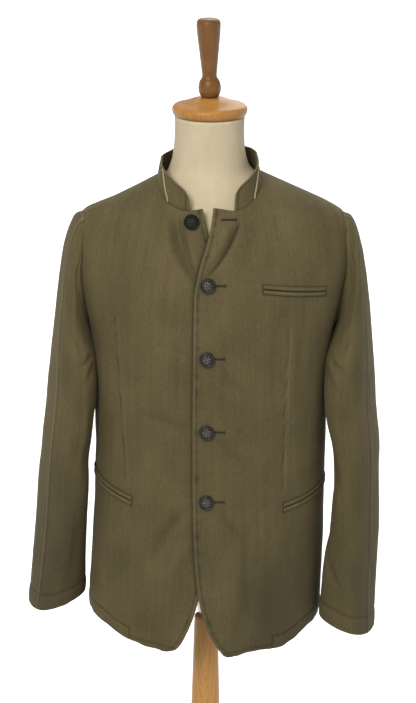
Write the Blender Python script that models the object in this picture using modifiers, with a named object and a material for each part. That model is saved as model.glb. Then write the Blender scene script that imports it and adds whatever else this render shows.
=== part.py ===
"""Trachten jacket on a limbless dress form, as separate sewn and turned pieces.

Metres, +Z up, the floor at zero, the wearer facing -Y, the wearer's left at +X.
"""
import math

import bmesh
import bpy
from mathutils import Matrix, Vector

# Cloth walls and the small gaps between sewn pieces
CLOTH_WALL = 0.0016
COLLAR_WALL = 0.0022
SEAM_GAP = 0.0003
FRONT_LAP = 0.0015
SLEEVE_LAP = 0.0024
SLEEVE_HEAD_LIFT = 0.0020

# Jacket shell, one row per level: height, half width, front depth, back depth, squareness, lean
BODY_SECTIONS = [
    (0.585, 0.1870, 0.1440, 0.1290, 2.30, -0.0035),
    (0.660, 0.1882, 0.1455, 0.1300, 2.30, -0.0025),
    (0.740, 0.1875, 0.1450, 0.1290, 2.30, 0.0010),
    (0.830, 0.1850, 0.1420, 0.1180, 2.30, 0.0040),
    (0.920, 0.1850, 0.1385, 0.1040, 2.30, 0.0050),
    (1.010, 0.1870, 0.1370, 0.1020, 2.32, 0.0050),
    (1.100, 0.1930, 0.1345, 0.1120, 2.34, 0.0055),
    (1.170, 0.2080, 0.1270, 0.1180, 2.30, 0.0060),
    (1.230, 0.2190, 0.1150, 0.1170, 2.20, 0.0060),
    (1.275, 0.2180, 0.1020, 0.1110, 2.10, 0.0060),
    (1.296, 0.2070, 0.0950, 0.1055, 2.05, 0.0060),
    (1.310, 0.1860, 0.0910, 0.1015, 2.00, 0.0050),
    (1.325, 0.1545, 0.0865, 0.0965, 2.00, 0.0040),
    (1.345, 0.1120, 0.0745, 0.0870, 2.00, 0.0015),
    (1.362, 0.0760, 0.0560, 0.0775, 2.00, -0.0010),
    (1.376, 0.0460, 0.0400, 0.0690, 2.00, -0.0020),
]

# Cut lines of the shell
SIDE_SEAM_ANGLE = 4.0
ARMPIT_HEIGHT = 1.090
SHOULDER_TIP = (0.205, -0.010)
SHOULDER_NECK = (0.081, -0.006)
NECK_HALF_WIDTH = 0.0805
NECK_FRONT = 0.0880
NECK_BACK = 0.0780
NECK_SQUARENESS = 3.4
NECK_EDGE_HEIGHT = 1.322
SHOULDER_SEARCH = (1.240, 1.376)
ARMHOLE_FRONT_SCOOP = {1: 9.0, -1: 14.0}
ARMHOLE_BACK_SCOOP = 15.0
SHOULDER_DROP = 0.008

# Hem height round the shell: angle from the side in degrees, left height, right height
HEM_LINE = [
    (-102.0, 0.598, 0.6055),
    (-80.0, 0.598, 0.6052),
    (-70.0, 0.600, 0.6060),
    (-61.0, 0.606, 0.6100),
    (-50.0, 0.607, 0.6155),
    (-43.0, 0.608, 0.6205),
    (-35.0, 0.617, 0.6285),
    (-25.0, 0.630, 0.6375),
    (4.0, 0.640, 0.6460),
    (40.0, 0.640, 0.6420),
    (90.0, 0.640, 0.6400),
]

# Front edges from the hem to the neck: height, place across the chest
LEFT_FRONT_EDGE = [
    (0.5980, 0.0350),
    (0.6010, 0.0290),
    (0.6083, 0.0225),
    (0.6220, 0.0130),
    (0.6387, 0.0045),
    (0.6600, -0.0035),
    (0.6800, -0.0090),
    (0.7120, -0.0145),
    (0.7570, -0.0185),
    (0.8300, -0.0220),
    (1.0000, -0.0235),
    (1.1800, -0.0225),
    (1.2300, -0.0140),
    (1.2700, -0.0020),
    (1.3000, 0.0040),
    (1.3450, 0.0090),
]
RIGHT_FRONT_EDGE = [
    (0.6055, -0.0640),
    (0.6068, -0.0560),
    (0.6100, -0.0480),
    (0.6175, -0.0410),
    (0.6295, -0.0345),
    (0.6634, -0.0205),
    (0.6886, -0.0135),
    (0.7200, -0.0050),
    (0.7600, 0.0060),
    (0.8300, 0.0190),
    (1.0000, 0.0220),
    (1.1800, 0.0210),
    (1.2400, 0.0130),
    (1.2800, -0.0010),
    (1.3100, -0.0080),
    (1.3450, -0.0120),
]

# Largest folds: panel, start across and height, end across and height, half width, depth
BODY_FOLDS = [
    ("front_left", 0.050, 1.295, 0.012, 1.240, 0.011, -0.0026),
    ("front_left", 0.014, 1.305, 0.000, 1.270, 0.018, 0.0036),
    ("front_right", -0.052, 1.300, -0.022, 1.205, 0.017, -0.0030),
    ("front_right", 0.000, 1.270, 0.000, 1.190, 0.030, -0.0040),
    ("front_right", -0.030, 0.830, -0.094, 0.735, 0.022, -0.0030),
    ("front_right", -0.075, 0.800, -0.120, 0.690, 0.024, 0.0030),
    ("front_left", 0.079, 0.790, 0.074, 0.640, 0.016, -0.0058),
    ("front_left", 0.052, 0.760, 0.050, 0.650, 0.018, 0.0026),
    ("back_left", 0.050, 0.820, 0.060, 0.660, 0.024, -0.0040),
    ("back_left", 0.070, 1.180, 0.110, 1.060, 0.024, -0.0030),
    ("back_right", -0.052, 0.830, -0.066, 0.670, 0.024, -0.0040),
    ("back_right", -0.080, 1.170, -0.112, 1.050, 0.024, -0.0030),
]

# Sleeves below the armpit, one row per ring: height, centre across, centre depth, half width,
# half depth, turn in degrees
LEFT_SLEEVE_RINGS = [
    (1.060, 0.2288, -0.018, 0.0302, 0.0690, 15.0),
    (0.990, 0.2294, -0.024, 0.0334, 0.0725, 17.0),
    (0.900, 0.2395, -0.032, 0.0295, 0.0700, 19.0),
    (0.800, 0.2385, -0.040, 0.0318, 0.0635, 21.0),
    (0.710, 0.2312, -0.046, 0.0378, 0.0560, 23.0),
    (0.632, 0.2272, -0.050, 0.0412, 0.0490, 24.0),
]
RIGHT_SLEEVE_RINGS = [
    (1.060, 0.2174, -0.016, 0.0284, 0.0690, 15.0),
    (0.990, 0.2194, -0.020, 0.0324, 0.0725, 17.0),
    (0.900, 0.2285, -0.022, 0.0330, 0.0700, 19.0),
    (0.800, 0.2348, -0.016, 0.0342, 0.0635, 21.0),
    (0.720, 0.2400, -0.008, 0.0382, 0.0560, 23.0),
    (0.652, 0.2436, 0.000, 0.0428, 0.0490, 24.0),
]
SLEEVE_CAP_REACH = {1: 0.102, -1: 0.097}
SLEEVE_LAP_SPREAD = (1.09, 1.018)
SLEEVE_CAP_SHARE = 0.40
OVER_ARM_SEAM = {1: 8.0, -1: 17.0}
UNDER_ARM_SEAM = 180.0
CUFF_TILT = 0.0160
SLEEVE_SQUARENESS = 2.6

# Largest sleeve folds: sleeve side, turn round the sleeve, share of its length, half turn, half
# length, depth
SLEEVE_FOLDS = [
    (1, 95.0, 0.30, 40.0, 0.045, -0.0045),
    (1, 70.0, 0.52, 46.0, 0.040, -0.0040),
    (1, 110.0, 0.66, 44.0, 0.038, -0.0040),
    (1, 250.0, 0.45, 46.0, 0.045, -0.0040),
    (1, 270.0, 0.62, 46.0, 0.040, -0.0040),
    (-1, 100.0, 0.33, 42.0, 0.045, -0.0045),
    (-1, 75.0, 0.50, 46.0, 0.040, -0.0040),
    (-1, 105.0, 0.62, 44.0, 0.038, -0.0045),
    (-1, 255.0, 0.42, 46.0, 0.045, -0.0040),
    (-1, 275.0, 0.60, 46.0, 0.040, -0.0040),
]

# Stand collar round the neck: angle, left height, right height, lean out at its top
COLLAR_STATIONS = [
    (-90.0, 0.0280, 0.0280, -0.0070),
    (0.0, 0.0310, 0.0310, -0.0060),
    (34.0, 0.0390, 0.0390, -0.0030),
    (47.0, 0.0440, 0.0430, 0.0010),
    (58.0, 0.0410, 0.0370, 0.0030),
    (68.0, 0.0330, 0.0260, 0.0040),
]
COLLAR_END_ANGLE = 68.0
COLLAR_ROUNDING = 5.5
COLLAR_SEAM_ANGLE = 47.0
COLLAR_SEAM_SLANT = 11.5
COLLAR_RISE = 0.0014
PIPING_RADIUS = 0.0012

# Pockets: inner end across and height, outer end angle and height
CHEST_POCKET = ((0.085, 1.198), (-23.5, 1.186))
LEFT_HIP_POCKET = ((0.1210, 0.842), (-6.0, 0.864))
RIGHT_HIP_POCKET = ((0.1195, 0.850), (-5.0, 0.877))
JET_WIDTH = 0.0070
JET_SLIT = 0.0007
JET_LIFT = 0.0006
JET_THICKNESS = 0.0017

# Buttons
BUTTON_RADIUS = 0.0120
BUTTON_LIFT = 0.0006
OPEN_BUTTON = (-0.0270, 1.2990)
CLOSED_BUTTONS = [(-0.0010, 1.2040), (-0.0015, 1.0900), (-0.0010, 0.9720), (-0.0010, 0.8580)]
BUTTON_PROFILE = [
    (0.0000, 0.0066),
    (0.0040, 0.0063),
    (0.0082, 0.0052),
    (0.0096, 0.0046),
    (0.0106, 0.0050),
    (0.0118, 0.0044),
    (0.0120, 0.0034),
    (0.0112, 0.0026),
    (0.0034, 0.0022),
    (0.0030, 0.0000),
    (0.0000, 0.0000),
]
BUTTON_STEPS = 20

# Dress form, one row per level: height, half width, front depth, back depth
FORM_SECTIONS = [
    (0.700, 0.1380, 0.0960, 0.0860),
    (0.706, 0.1500, 0.1060, 0.0960),
    (0.730, 0.1560, 0.1110, 0.1030),
    (0.780, 0.1580, 0.1130, 0.1020),
    (0.850, 0.1560, 0.1110, 0.0920),
    (0.920, 0.1550, 0.1080, 0.0830),
    (1.010, 0.1600, 0.1110, 0.0820),
    (1.100, 0.1690, 0.1140, 0.0930),
    (1.170, 0.1810, 0.1080, 0.1010),
    (1.230, 0.1920, 0.0980, 0.1020),
    (1.270, 0.1980, 0.0885, 0.0985),
    (1.290, 0.1910, 0.0805, 0.0960),
    (1.306, 0.1730, 0.0755, 0.0935),
    (1.322, 0.1430, 0.0705, 0.0895),
    (1.340, 0.1060, 0.0650, 0.0820),
    (1.355, 0.0790, 0.0610, 0.0710),
    (1.372, 0.0630, 0.0570, 0.0610),
    (1.398, 0.0560, 0.0550, 0.0560),
    (1.430, 0.0545, 0.0545, 0.0545),
    (1.4485, 0.0550, 0.0550, 0.0550),
]
FORM_SQUARENESS = 2.15
FORM_AROUND = 28

# Turned pieces of the form, from top to bottom: radius, height
CAP_PROFILE = [
    (0.0000, 1.4785),
    (0.0180, 1.4785),
    (0.0300, 1.4750),
    (0.0420, 1.4700),
    (0.0500, 1.4680),
    (0.0560, 1.4665),
    (0.0590, 1.4625),
    (0.0595, 1.4575),
    (0.0575, 1.4520),
    (0.0540, 1.4490),
    (0.0000, 1.4490),
]
FINIAL_PROFILE = [
    (0.0000, 1.6030),
    (0.0140, 1.6025),
    (0.0182, 1.5995),
    (0.0192, 1.5940),
    (0.0182, 1.5790),
    (0.0152, 1.5500),
    (0.0126, 1.5250),
    (0.0113, 1.5120),
    (0.0128, 1.5085),
    (0.0160, 1.5040),
    (0.0178, 1.4960),
    (0.0174, 1.4880),
    (0.0150, 1.4815),
    (0.0136, 1.4793),
    (0.0000, 1.4793),
]
FERRULE_PROFILE = [
    (0.0000, 0.6995),
    (0.0150, 0.6995),
    (0.0150, 0.6205),
    (0.0000, 0.6205),
]
POLE_PROFILE = [
    (0.0000, 0.6200),
    (0.0170, 0.6200),
    (0.0190, 0.6170),
    (0.0196, 0.6000),
    (0.0214, 0.5300),
    (0.0236, 0.4500),
    (0.0250, 0.3700),
    (0.0246, 0.2700),
    (0.0226, 0.1500),
    (0.0215, 0.0700),
    (0.0225, 0.0505),
    (0.0000, 0.0505),
]
BASE_PROFILE = [
    (0.0000, 0.0500),
    (0.0380, 0.0500),
    (0.0440, 0.0460),
    (0.0500, 0.0390),
    (0.0900, 0.0330),
    (0.1500, 0.0270),
    (0.1680, 0.0230),
    (0.1750, 0.0150),
    (0.1730, 0.0040),
    (0.1690, 0.0000),
    (0.0000, 0.0000),
]
FINIAL_TILT = -1.4
TURNED_STEPS = 24
BASE_STEPS = 32

# Mesh grain: shares from the hem or the cuff up, spans across
FRONT_ROWS_LOW = 16
FRONT_ROWS_ARM = 9
FRONT_COLUMNS_NECK = 8
FRONT_COLUMNS_SHOULDER = 6
BACK_COLUMNS_NECK = 5
BACK_COLUMNS_SHOULDER = 5
SLEEVE_ROWS_CAP = 7
SLEEVE_ROWS_ARM = 15
SLEEVE_COLUMNS = 9

PART_COLLECTION = "trachten_jacket_on_form"

MATERIALS = {
    "olive_twill": ((0.115, 0.095, 0.045), 0.0, 0.85),
    "tan_cord": ((0.420, 0.340, 0.180), 0.0, 0.80),
    "old_metal": ((0.180, 0.180, 0.170), 1.0, 0.45),
    "cream_cover": ((0.680, 0.600, 0.430), 0.0, 0.85),
    "turned_wood": ((0.430, 0.190, 0.070), 0.0, 0.45),
}


def clear_scene():
    """Remove what the new file holds."""
    for thing in list(bpy.data.objects):
        bpy.data.objects.remove(thing)


def smooth_step(low, high, at):
    """Ease from zero at low to one at high."""
    share = min(1.0, max(0.0, (at - low) / (high - low)))
    return share * share * (3.0 - 2.0 * share)


def slopes(knots, values):
    """Slopes of a smooth curve that never overshoots its rows."""
    count = len(knots)
    steps = [knots[i + 1] - knots[i] for i in range(count - 1)]
    rises = [(values[i + 1] - values[i]) / steps[i] for i in range(count - 1)]
    result = [rises[0]]
    for i in range(1, count - 1):
        if rises[i - 1] * rises[i] <= 0.0:
            result.append(0.0)
        else:
            before = 2.0 * steps[i] + steps[i - 1]
            after = steps[i] + 2.0 * steps[i - 1]
            result.append((before + after) / (before / rises[i - 1] + after / rises[i]))
    result.append(rises[-1])
    return result


def make_curve(table, column):
    """Smooth curve through one column of a table, keyed by its first column."""
    rows = sorted(table, key=lambda row: row[0])
    knots = [row[0] for row in rows]
    values = [row[column] for row in rows]
    ramps = slopes(knots, values)

    def curve(at):
        if at <= knots[0]:
            return values[0] + ramps[0] * (at - knots[0])
        if at >= knots[-1]:
            return values[-1] + ramps[-1] * (at - knots[-1])
        i = 0
        while at > knots[i + 1]:
            i += 1
        span = knots[i + 1] - knots[i]
        t = (at - knots[i]) / span
        return (
            values[i] * (1.0 + 2.0 * t) * (1.0 - t) ** 2
            + ramps[i] * span * t * (1.0 - t) ** 2
            + values[i + 1] * t * t * (3.0 - 2.0 * t)
            + ramps[i + 1] * span * t * t * (t - 1.0)
        )

    return curve


BODY_WIDTH = make_curve(BODY_SECTIONS, 1)
BODY_FRONT = make_curve(BODY_SECTIONS, 2)
BODY_BACK = make_curve(BODY_SECTIONS, 3)
BODY_SQUARE = make_curve(BODY_SECTIONS, 4)
BODY_LEAN = make_curve(BODY_SECTIONS, 5)
HEM_HEIGHTS = {1: make_curve(HEM_LINE, 1), -1: make_curve(HEM_LINE, 2)}
LEFT_EDGE = make_curve(LEFT_FRONT_EDGE, 1)
RIGHT_EDGE = make_curve(RIGHT_FRONT_EDGE, 1)
COLLAR_HEIGHTS = {1: make_curve(COLLAR_STATIONS, 1), -1: make_curve(COLLAR_STATIONS, 2)}
COLLAR_LEAN = make_curve(COLLAR_STATIONS, 3)


def ring_radius(width, depth, square, angle):
    """Distance from the axis to a rounded-square ring, in metres."""
    across = abs(math.cos(angle)) / width
    along = abs(math.sin(angle)) / depth
    return (across ** square + along ** square) ** (-1.0 / square)


def drooped(point):
    """Let the right shoulder sink a little between the neck and the sleeve."""
    share = smooth_step(0.030, 0.080, -point.x) * (1.0 - smooth_step(0.150, 0.215, -point.x))
    share *= smooth_step(1.220, 1.310, point.z)
    return point - Vector((0.0, 0.0, SHOULDER_DROP * share))


def shell_point(side, degrees, height):
    """Point of the smooth jacket shell. Zero degrees is the side, -90 the front middle."""
    angle = math.radians(degrees)
    depth = BODY_FRONT(height) if degrees < 0.0 else BODY_BACK(height)
    reach = ring_radius(BODY_WIDTH(height), depth, BODY_SQUARE(height), angle)
    across = BODY_LEAN(height) + side * reach * math.cos(angle)
    return drooped(Vector((across, reach * math.sin(angle), height)))


def shell_normal(side, degrees, height):
    """Outward direction of the smooth jacket shell."""
    turn = 1.5
    rise = 0.004
    along = shell_point(side, degrees + turn, height) - shell_point(side, degrees - turn, height)
    up = shell_point(side, degrees, height + rise) - shell_point(side, degrees, height - rise)
    return (along.cross(up) * side).normalized()


def front_angle(side, across, height):
    """Angle of the front point at a place across the chest."""
    local = side * (across - BODY_LEAN(height))
    square = BODY_SQUARE(height)
    share = min(0.9999, abs(local) / BODY_WIDTH(height))
    depth = -BODY_FRONT(height) * (1.0 - share ** square) ** (1.0 / square)
    return math.degrees(math.atan2(depth, local))


def shoulder_spot(across, depth):
    """Angle and height of the shell above one plan point, both sides alike."""
    low, high = SHOULDER_SEARCH
    for _ in range(50):
        middle = (low + high) / 2.0
        reach = BODY_FRONT(middle) if depth < 0.0 else BODY_BACK(middle)
        square = BODY_SQUARE(middle)
        if (abs(across) / BODY_WIDTH(middle)) ** square + (abs(depth) / reach) ** square > 1.0:
            high = middle
        else:
            low = middle
    return math.degrees(math.atan2(depth, across)), (low + high) / 2.0


def neck_plan(degrees):
    """Plan point of the neck line. Zero is the shoulder seam, 90 the front, -90 the back."""
    angle = math.radians(degrees)
    deep = NECK_FRONT if degrees > 0.0 else NECK_BACK
    square = NECK_SQUARENESS if degrees > 0.0 else 2.0
    reach = ring_radius(NECK_HALF_WIDTH, deep, square, angle)
    depth = -reach * math.sin(angle) + SHOULDER_NECK[1] * math.cos(angle) ** 2
    return reach * math.cos(angle), depth


def neck_turn(across):
    """Angle of the neck line at a distance across from the middle of the front."""
    share = (across / NECK_HALF_WIDTH) ** NECK_SQUARENESS
    depth = NECK_FRONT * (1.0 - share) ** (1.0 / NECK_SQUARENESS)
    return math.degrees(math.atan2(depth, across))


def neck_spot(degrees):
    """Angle and height of the neck line on the shell."""
    across, depth = neck_plan(degrees)
    return shoulder_spot(across, depth)


def shoulder_seam(share):
    """Angle and height along the shoulder seam from the neck to the tip."""
    across = SHOULDER_NECK[0] + (SHOULDER_TIP[0] - SHOULDER_NECK[0]) * share
    depth = SHOULDER_NECK[1] + (SHOULDER_TIP[1] - SHOULDER_NECK[1]) * share
    return shoulder_spot(across, depth)


TIP_ANGLE, TIP_HEIGHT = shoulder_seam(1.0)


def armhole(share, scoop):
    """Angle and height along one half of the armhole from the armpit to the shoulder tip."""
    turn = math.pi * share
    height = ARMPIT_HEIGHT + (TIP_HEIGHT - ARMPIT_HEIGHT) * (1.0 - math.cos(turn)) / 2.0
    base = SIDE_SEAM_ANGLE + (TIP_ANGLE - SIDE_SEAM_ANGLE) * (1.0 - math.cos(turn)) / 2.0
    return base + scoop * math.sin(turn) ** 0.85, height


def fold_depth(panel, across, height):
    """Sum of the large folds of one panel at a point."""
    total = 0.0
    for name, x0, z0, x1, z1, width, depth in BODY_FOLDS:
        if name != panel:
            continue
        length = math.hypot(x1 - x0, z1 - z0)
        along = ((across - x0) * (x1 - x0) + (height - z0) * (z1 - z0)) / length
        off = ((across - x0) * (z1 - z0) - (height - z0) * (x1 - x0)) / length
        ends = smooth_step(-width, 0.35 * length, along)
        ends *= 1.0 - smooth_step(0.65 * length, length + width, along)
        total += depth * ends * math.exp(-(off / width) ** 2)
    return total


def lap_lift(panel, across, height):
    """How far a front stands off the smooth shell where the two fronts overlap."""
    closed = 1.0 - smooth_step(1.285, 1.315, height)
    if panel == "front_left":
        return FRONT_LAP * closed * (1.0 - smooth_step(0.035, 0.085, across))
    if panel == "front_right":
        return -FRONT_LAP * closed * smooth_step(-0.085, -0.035, across)
    return 0.0


def panel_point(panel, side, degrees, height, lift=0.0):
    """Outer point of a panel and its outward direction."""
    point = shell_point(side, degrees, height)
    out = shell_normal(side, degrees, height)
    height_off = lap_lift(panel, point.x, height) + fold_depth(panel, point.x, height)
    return point + out * (height_off + lift), out


def coons(left, right, bottom, top, u, v):
    """Patch between four cut lines, each a function giving angle and height."""
    result = []
    for k in range(2):
        ruled = (1.0 - u) * left(v)[k] + u * right(v)[k]
        lofted = (1.0 - v) * bottom(u)[k] + v * top(u)[k]
        corner_low = (1.0 - u) * bottom(0.0)[k] + u * bottom(1.0)[k]
        corner_high = (1.0 - u) * top(0.0)[k] + u * top(1.0)[k]
        result.append(ruled + lofted - (1.0 - v) * corner_low - v * corner_high)
    return result


def make_material(name):
    """Plain material of one sub-part."""
    colour, metal, rough = MATERIALS[name]
    material = bpy.data.materials.get(name)
    if material is None:
        material = bpy.data.materials.new(name)
        material.use_nodes = True
        shader = material.node_tree.nodes["Principled BSDF"]
        shader.inputs["Base Color"].default_value = (*colour, 1.0)
        shader.inputs["Metallic"].default_value = metal
        shader.inputs["Roughness"].default_value = rough
    return material


def add_object(name, mesh, material, collection):
    """Put a named mesh in the part's collection."""
    thing = bpy.data.objects.new(name, mesh)
    mesh.materials.append(make_material(material))
    collection.objects.link(thing)
    return thing


def close_mesh(name, points, faces, material, collection):
    """Closed mesh with its faces turned outward."""
    mesh = bpy.data.meshes.new(name)
    mesh.from_pydata([tuple(point) for point in points], [], faces)
    shape = bmesh.new()
    shape.from_mesh(mesh)
    bmesh.ops.recalc_face_normals(shape, faces=shape.faces)
    shape.to_mesh(mesh)
    shape.free()
    return add_object(name, mesh, material, collection)


def wall_from_grid(name, outer, inner, material, collection):
    """Cloth wall between an outer and an inner grid of points."""
    rows = len(outer)
    columns = len(outer[0])
    points = [point for row in outer for point in row]
    points += [point for row in inner for point in row]
    base = rows * columns
    faces = []
    for i in range(rows - 1):
        for j in range(columns - 1):
            a = i * columns + j
            b = a + 1
            c = a + columns + 1
            d = a + columns
            faces.append((a, b, c, d))
            faces.append((base + d, base + c, base + b, base + a))
    rim = [j for j in range(columns)]
    rim += [i * columns + columns - 1 for i in range(1, rows)]
    rim += [(rows - 1) * columns + j for j in range(columns - 2, -1, -1)]
    rim += [i * columns for i in range(rows - 2, 0, -1)]
    for k, first in enumerate(rim):
        second = rim[(k + 1) % len(rim)]
        faces.append((second, first, base + first, base + second))
    return close_mesh(name, points, faces, material, collection)


def row_shares():
    """Shares up a panel, closer together near the hem, with one row at the armpit."""
    split = FRONT_ROWS_LOW / (FRONT_ROWS_LOW + FRONT_ROWS_ARM)
    low = [split * (i / FRONT_ROWS_LOW) ** 1.6 for i in range(FRONT_ROWS_LOW)]
    high = [split + (1.0 - split) * i / FRONT_ROWS_ARM for i in range(FRONT_ROWS_ARM + 1)]
    return low + high, split


def top_shares(neck_columns, shoulder_columns):
    """Shares across a panel, with one column at the neck end of the shoulder seam."""
    split = neck_columns / (neck_columns + shoulder_columns)
    low = [split * i / neck_columns for i in range(neck_columns)]
    high = [split + (1.0 - split) * i / shoulder_columns for i in range(shoulder_columns + 1)]
    return low + high, split


def build_panel(name, side, is_front, collection):
    """One front or back panel between its cut lines."""
    if is_front:
        columns, neck_split = top_shares(FRONT_COLUMNS_NECK, FRONT_COLUMNS_SHOULDER)
    else:
        columns, neck_split = top_shares(BACK_COLUMNS_NECK, BACK_COLUMNS_SHOULDER)
    rows, arm_split = row_shares()
    edge = LEFT_EDGE if side > 0 else RIGHT_EDGE
    edge_rows = LEFT_FRONT_EDGE if side > 0 else RIGHT_FRONT_EDGE
    edge_low = edge_rows[0][0]
    scoop = -ARMHOLE_FRONT_SCOOP[side] if is_front else ARMHOLE_BACK_SCOOP
    neck_end = -90.0
    if is_front:
        edge_place = side * (edge(NECK_EDGE_HEIGHT) - BODY_LEAN(NECK_EDGE_HEIGHT))
        neck_end = neck_turn(edge_place)
    neck_angle, edge_high = neck_spot(neck_end)
    slip = neck_angle - front_angle(side, edge(edge_high), edge_high)

    def left(v):
        if is_front:
            height = edge_low + (edge_high - edge_low) * v
            return front_angle(side, edge(height), height) + slip * v ** 8, height
        low = HEM_HEIGHTS[side](90.0)
        return 90.0, low + (edge_high - low) * v

    def right(v):
        if v <= arm_split:
            low = HEM_HEIGHTS[side](SIDE_SEAM_ANGLE)
            return SIDE_SEAM_ANGLE, low + (ARMPIT_HEIGHT - low) * v / arm_split
        return armhole((v - arm_split) / (1.0 - arm_split), scoop)

    start = left(0.0)[0]

    def bottom(u):
        degrees = start + (SIDE_SEAM_ANGLE - start) * u
        height = HEM_HEIGHTS[side](degrees)
        if is_front:
            height += (edge_low - HEM_HEIGHTS[side](start)) * (1.0 - u) ** 4
        return degrees, height

    def top(u):
        if u <= neck_split:
            return neck_spot(neck_end * (1.0 - u / neck_split))
        return shoulder_seam((u - neck_split) / (1.0 - neck_split))

    outer = []
    inner = []
    for v in rows:
        outer_row = []
        inner_row = []
        for u in columns:
            inset = SEAM_GAP / 2.0 / 0.28
            degrees, height = coons(left, right, bottom, top, inset + u * (1.0 - 2.0 * inset), v)
            point, out = panel_point(name, side, degrees, height)
            outer_row.append(point)
            inner_row.append(point - out * CLOTH_WALL)
        outer.append(outer_row)
        inner.append(inner_row)
    shoulder_start = FRONT_COLUMNS_NECK if is_front else BACK_COLUMNS_NECK
    away = Vector((0.0, -SEAM_GAP / 2.0 if is_front else SEAM_GAP / 2.0, 0.0))
    for j in range(shoulder_start, len(columns)):
        outer[-1][j] = outer[-1][j] + away
        inner[-1][j] = inner[-1][j] + away
    return wall_from_grid(name, outer, inner, "olive_twill", collection)


def sleeve_ring_point(rings, side, degrees, height):
    """Point of a sleeve below the armpit. Zero degrees is the outer side, 90 the front."""
    across = rings[0](height)
    depth = rings[1](height)
    half_width = rings[2](height)
    half_depth = rings[3](height)
    turn = math.radians(rings[4](height))
    angle = math.radians(degrees)
    bulge = ring_radius(1.0, 1.0, SLEEVE_SQUARENESS, angle)
    out = half_width * bulge * math.cos(angle)
    forward = half_depth * bulge * math.sin(angle)
    x = across + out * math.cos(turn) - forward * math.sin(turn)
    y = depth - forward * math.cos(turn) - out * math.sin(turn)
    low = min(LEFT_SLEEVE_RINGS[-1][0], RIGHT_SLEEVE_RINGS[-1][0])
    tilt = CUFF_TILT * (1.0 - smooth_step(low, LEFT_SLEEVE_RINGS[1][0], height))
    return Vector((side * x, y, height - tilt * math.cos(angle)))


def armhole_point(side, degrees):
    """Start of the sleeve on the armhole. Zero degrees is the shoulder tip, 180 the armpit."""
    if degrees <= 180.0:
        spot = armhole(1.0 - degrees / 180.0, -ARMHOLE_FRONT_SCOOP[side])
    else:
        spot = armhole((degrees - 180.0) / 180.0, ARMHOLE_BACK_SCOOP)
    middle_angle = (SIDE_SEAM_ANGLE + TIP_ANGLE) / 2.0
    middle_height = (ARMPIT_HEIGHT + TIP_HEIGHT) / 2.0
    turn = middle_angle + (spot[0] - middle_angle) * SLEEVE_LAP_SPREAD[0]
    height = middle_height + (spot[1] - middle_height) * SLEEVE_LAP_SPREAD[1]
    point = shell_point(side, turn, height)
    out = shell_normal(side, turn, height)
    upper = (1.0 + math.cos(math.radians(degrees))) / 2.0
    return point + out * (SLEEVE_LAP + SLEEVE_HEAD_LIFT * upper)


def sleeve_fold(side, degrees, share):
    """Depth of the large sleeve folds at a point."""
    total = 0.0
    for fold_side, turn, place, half_turn, half_length, depth in SLEEVE_FOLDS:
        if fold_side != side:
            continue
        around = (degrees - turn + 180.0) % 360.0 - 180.0
        off = around / half_turn
        slant = (share - place - 0.0005 * around) / half_length
        total += depth * math.exp(-off * off - slant * slant)
    return total


class Sleeve:
    """Smooth sleeve surface from the armhole to the cuff."""

    def __init__(self, side):
        self.side = side
        table = LEFT_SLEEVE_RINGS if side > 0 else RIGHT_SLEEVE_RINGS
        self.rings = [make_curve(table, column) for column in range(1, 6)]
        self.top = max(row[0] for row in table)
        self.low = min(row[0] for row in table)

    def smooth_point(self, degrees, share):
        """Point at a turn round the sleeve and a share of its length."""
        if share >= SLEEVE_CAP_SHARE:
            part = (share - SLEEVE_CAP_SHARE) / (1.0 - SLEEVE_CAP_SHARE)
            height = self.top + (self.low - self.top) * part
            return sleeve_ring_point(self.rings, self.side, degrees, height)
        start = armhole_point(self.side, degrees)
        end = sleeve_ring_point(self.rings, self.side, degrees, self.top)
        below = sleeve_ring_point(self.rings, self.side, degrees, self.top - 0.01)
        upper = (1.0 + math.cos(math.radians(degrees))) / 2.0
        span = (end - start).length
        leave = Vector((self.side * SLEEVE_CAP_REACH[self.side] * upper, 0.0, 0.0))
        leave.z = -span * (1.0 - 0.75 * upper)
        arrive = (below - end).normalized() * span * 1.05
        t = share / SLEEVE_CAP_SHARE
        return (
            start * (1.0 + 2.0 * t) * (1.0 - t) ** 2
            + leave * t * (1.0 - t) ** 2
            + end * t * t * (3.0 - 2.0 * t)
            + arrive * t * t * (t - 1.0)
        )

    def point(self, degrees, share):
        """Outer point with its folds, and the outward direction."""
        turn = 3.0
        step = 0.008
        low = max(0.0, share - step)
        high = min(1.0, share + step)
        along = self.smooth_point((degrees + turn) % 360.0, share)
        along = along - self.smooth_point((degrees - turn) % 360.0, share)
        down = self.smooth_point(degrees % 360.0, high) - self.smooth_point(degrees % 360.0, low)
        out = (along.cross(down) * self.side).normalized()
        place = self.smooth_point(degrees % 360.0, share)
        return place + out * sleeve_fold(self.side, degrees, share), out


def build_sleeve_half(name, side, start, end, collection):
    """Front or back half of a sleeve, between the seam over the arm and the one under it."""
    sleeve = Sleeve(side)
    shares = [SLEEVE_CAP_SHARE * i / SLEEVE_ROWS_CAP for i in range(SLEEVE_ROWS_CAP)]
    arm = 1.0 - SLEEVE_CAP_SHARE
    shares += [SLEEVE_CAP_SHARE + arm * i / SLEEVE_ROWS_ARM for i in range(SLEEVE_ROWS_ARM + 1)]
    inset = math.degrees(SEAM_GAP / 2.0 / 0.045)
    outer = []
    inner = []
    for share in shares:
        outer_row = []
        inner_row = []
        for j in range(SLEEVE_COLUMNS + 1):
            degrees = start + inset + (end - start - 2.0 * inset) * j / SLEEVE_COLUMNS
            point, out = sleeve.point(degrees, share)
            outer_row.append(point)
            inner_row.append(point - out * CLOTH_WALL)
        outer.append(outer_row)
        inner.append(inner_row)
    return wall_from_grid(name, outer, inner, "olive_twill", collection)


def collar_base(side, degrees):
    """Point of the collar's lower edge, just above the neck line."""
    point = shell_point(side, *neck_spot(degrees))
    return point + Vector((0.0, 0.0, COLLAR_RISE))


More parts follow.
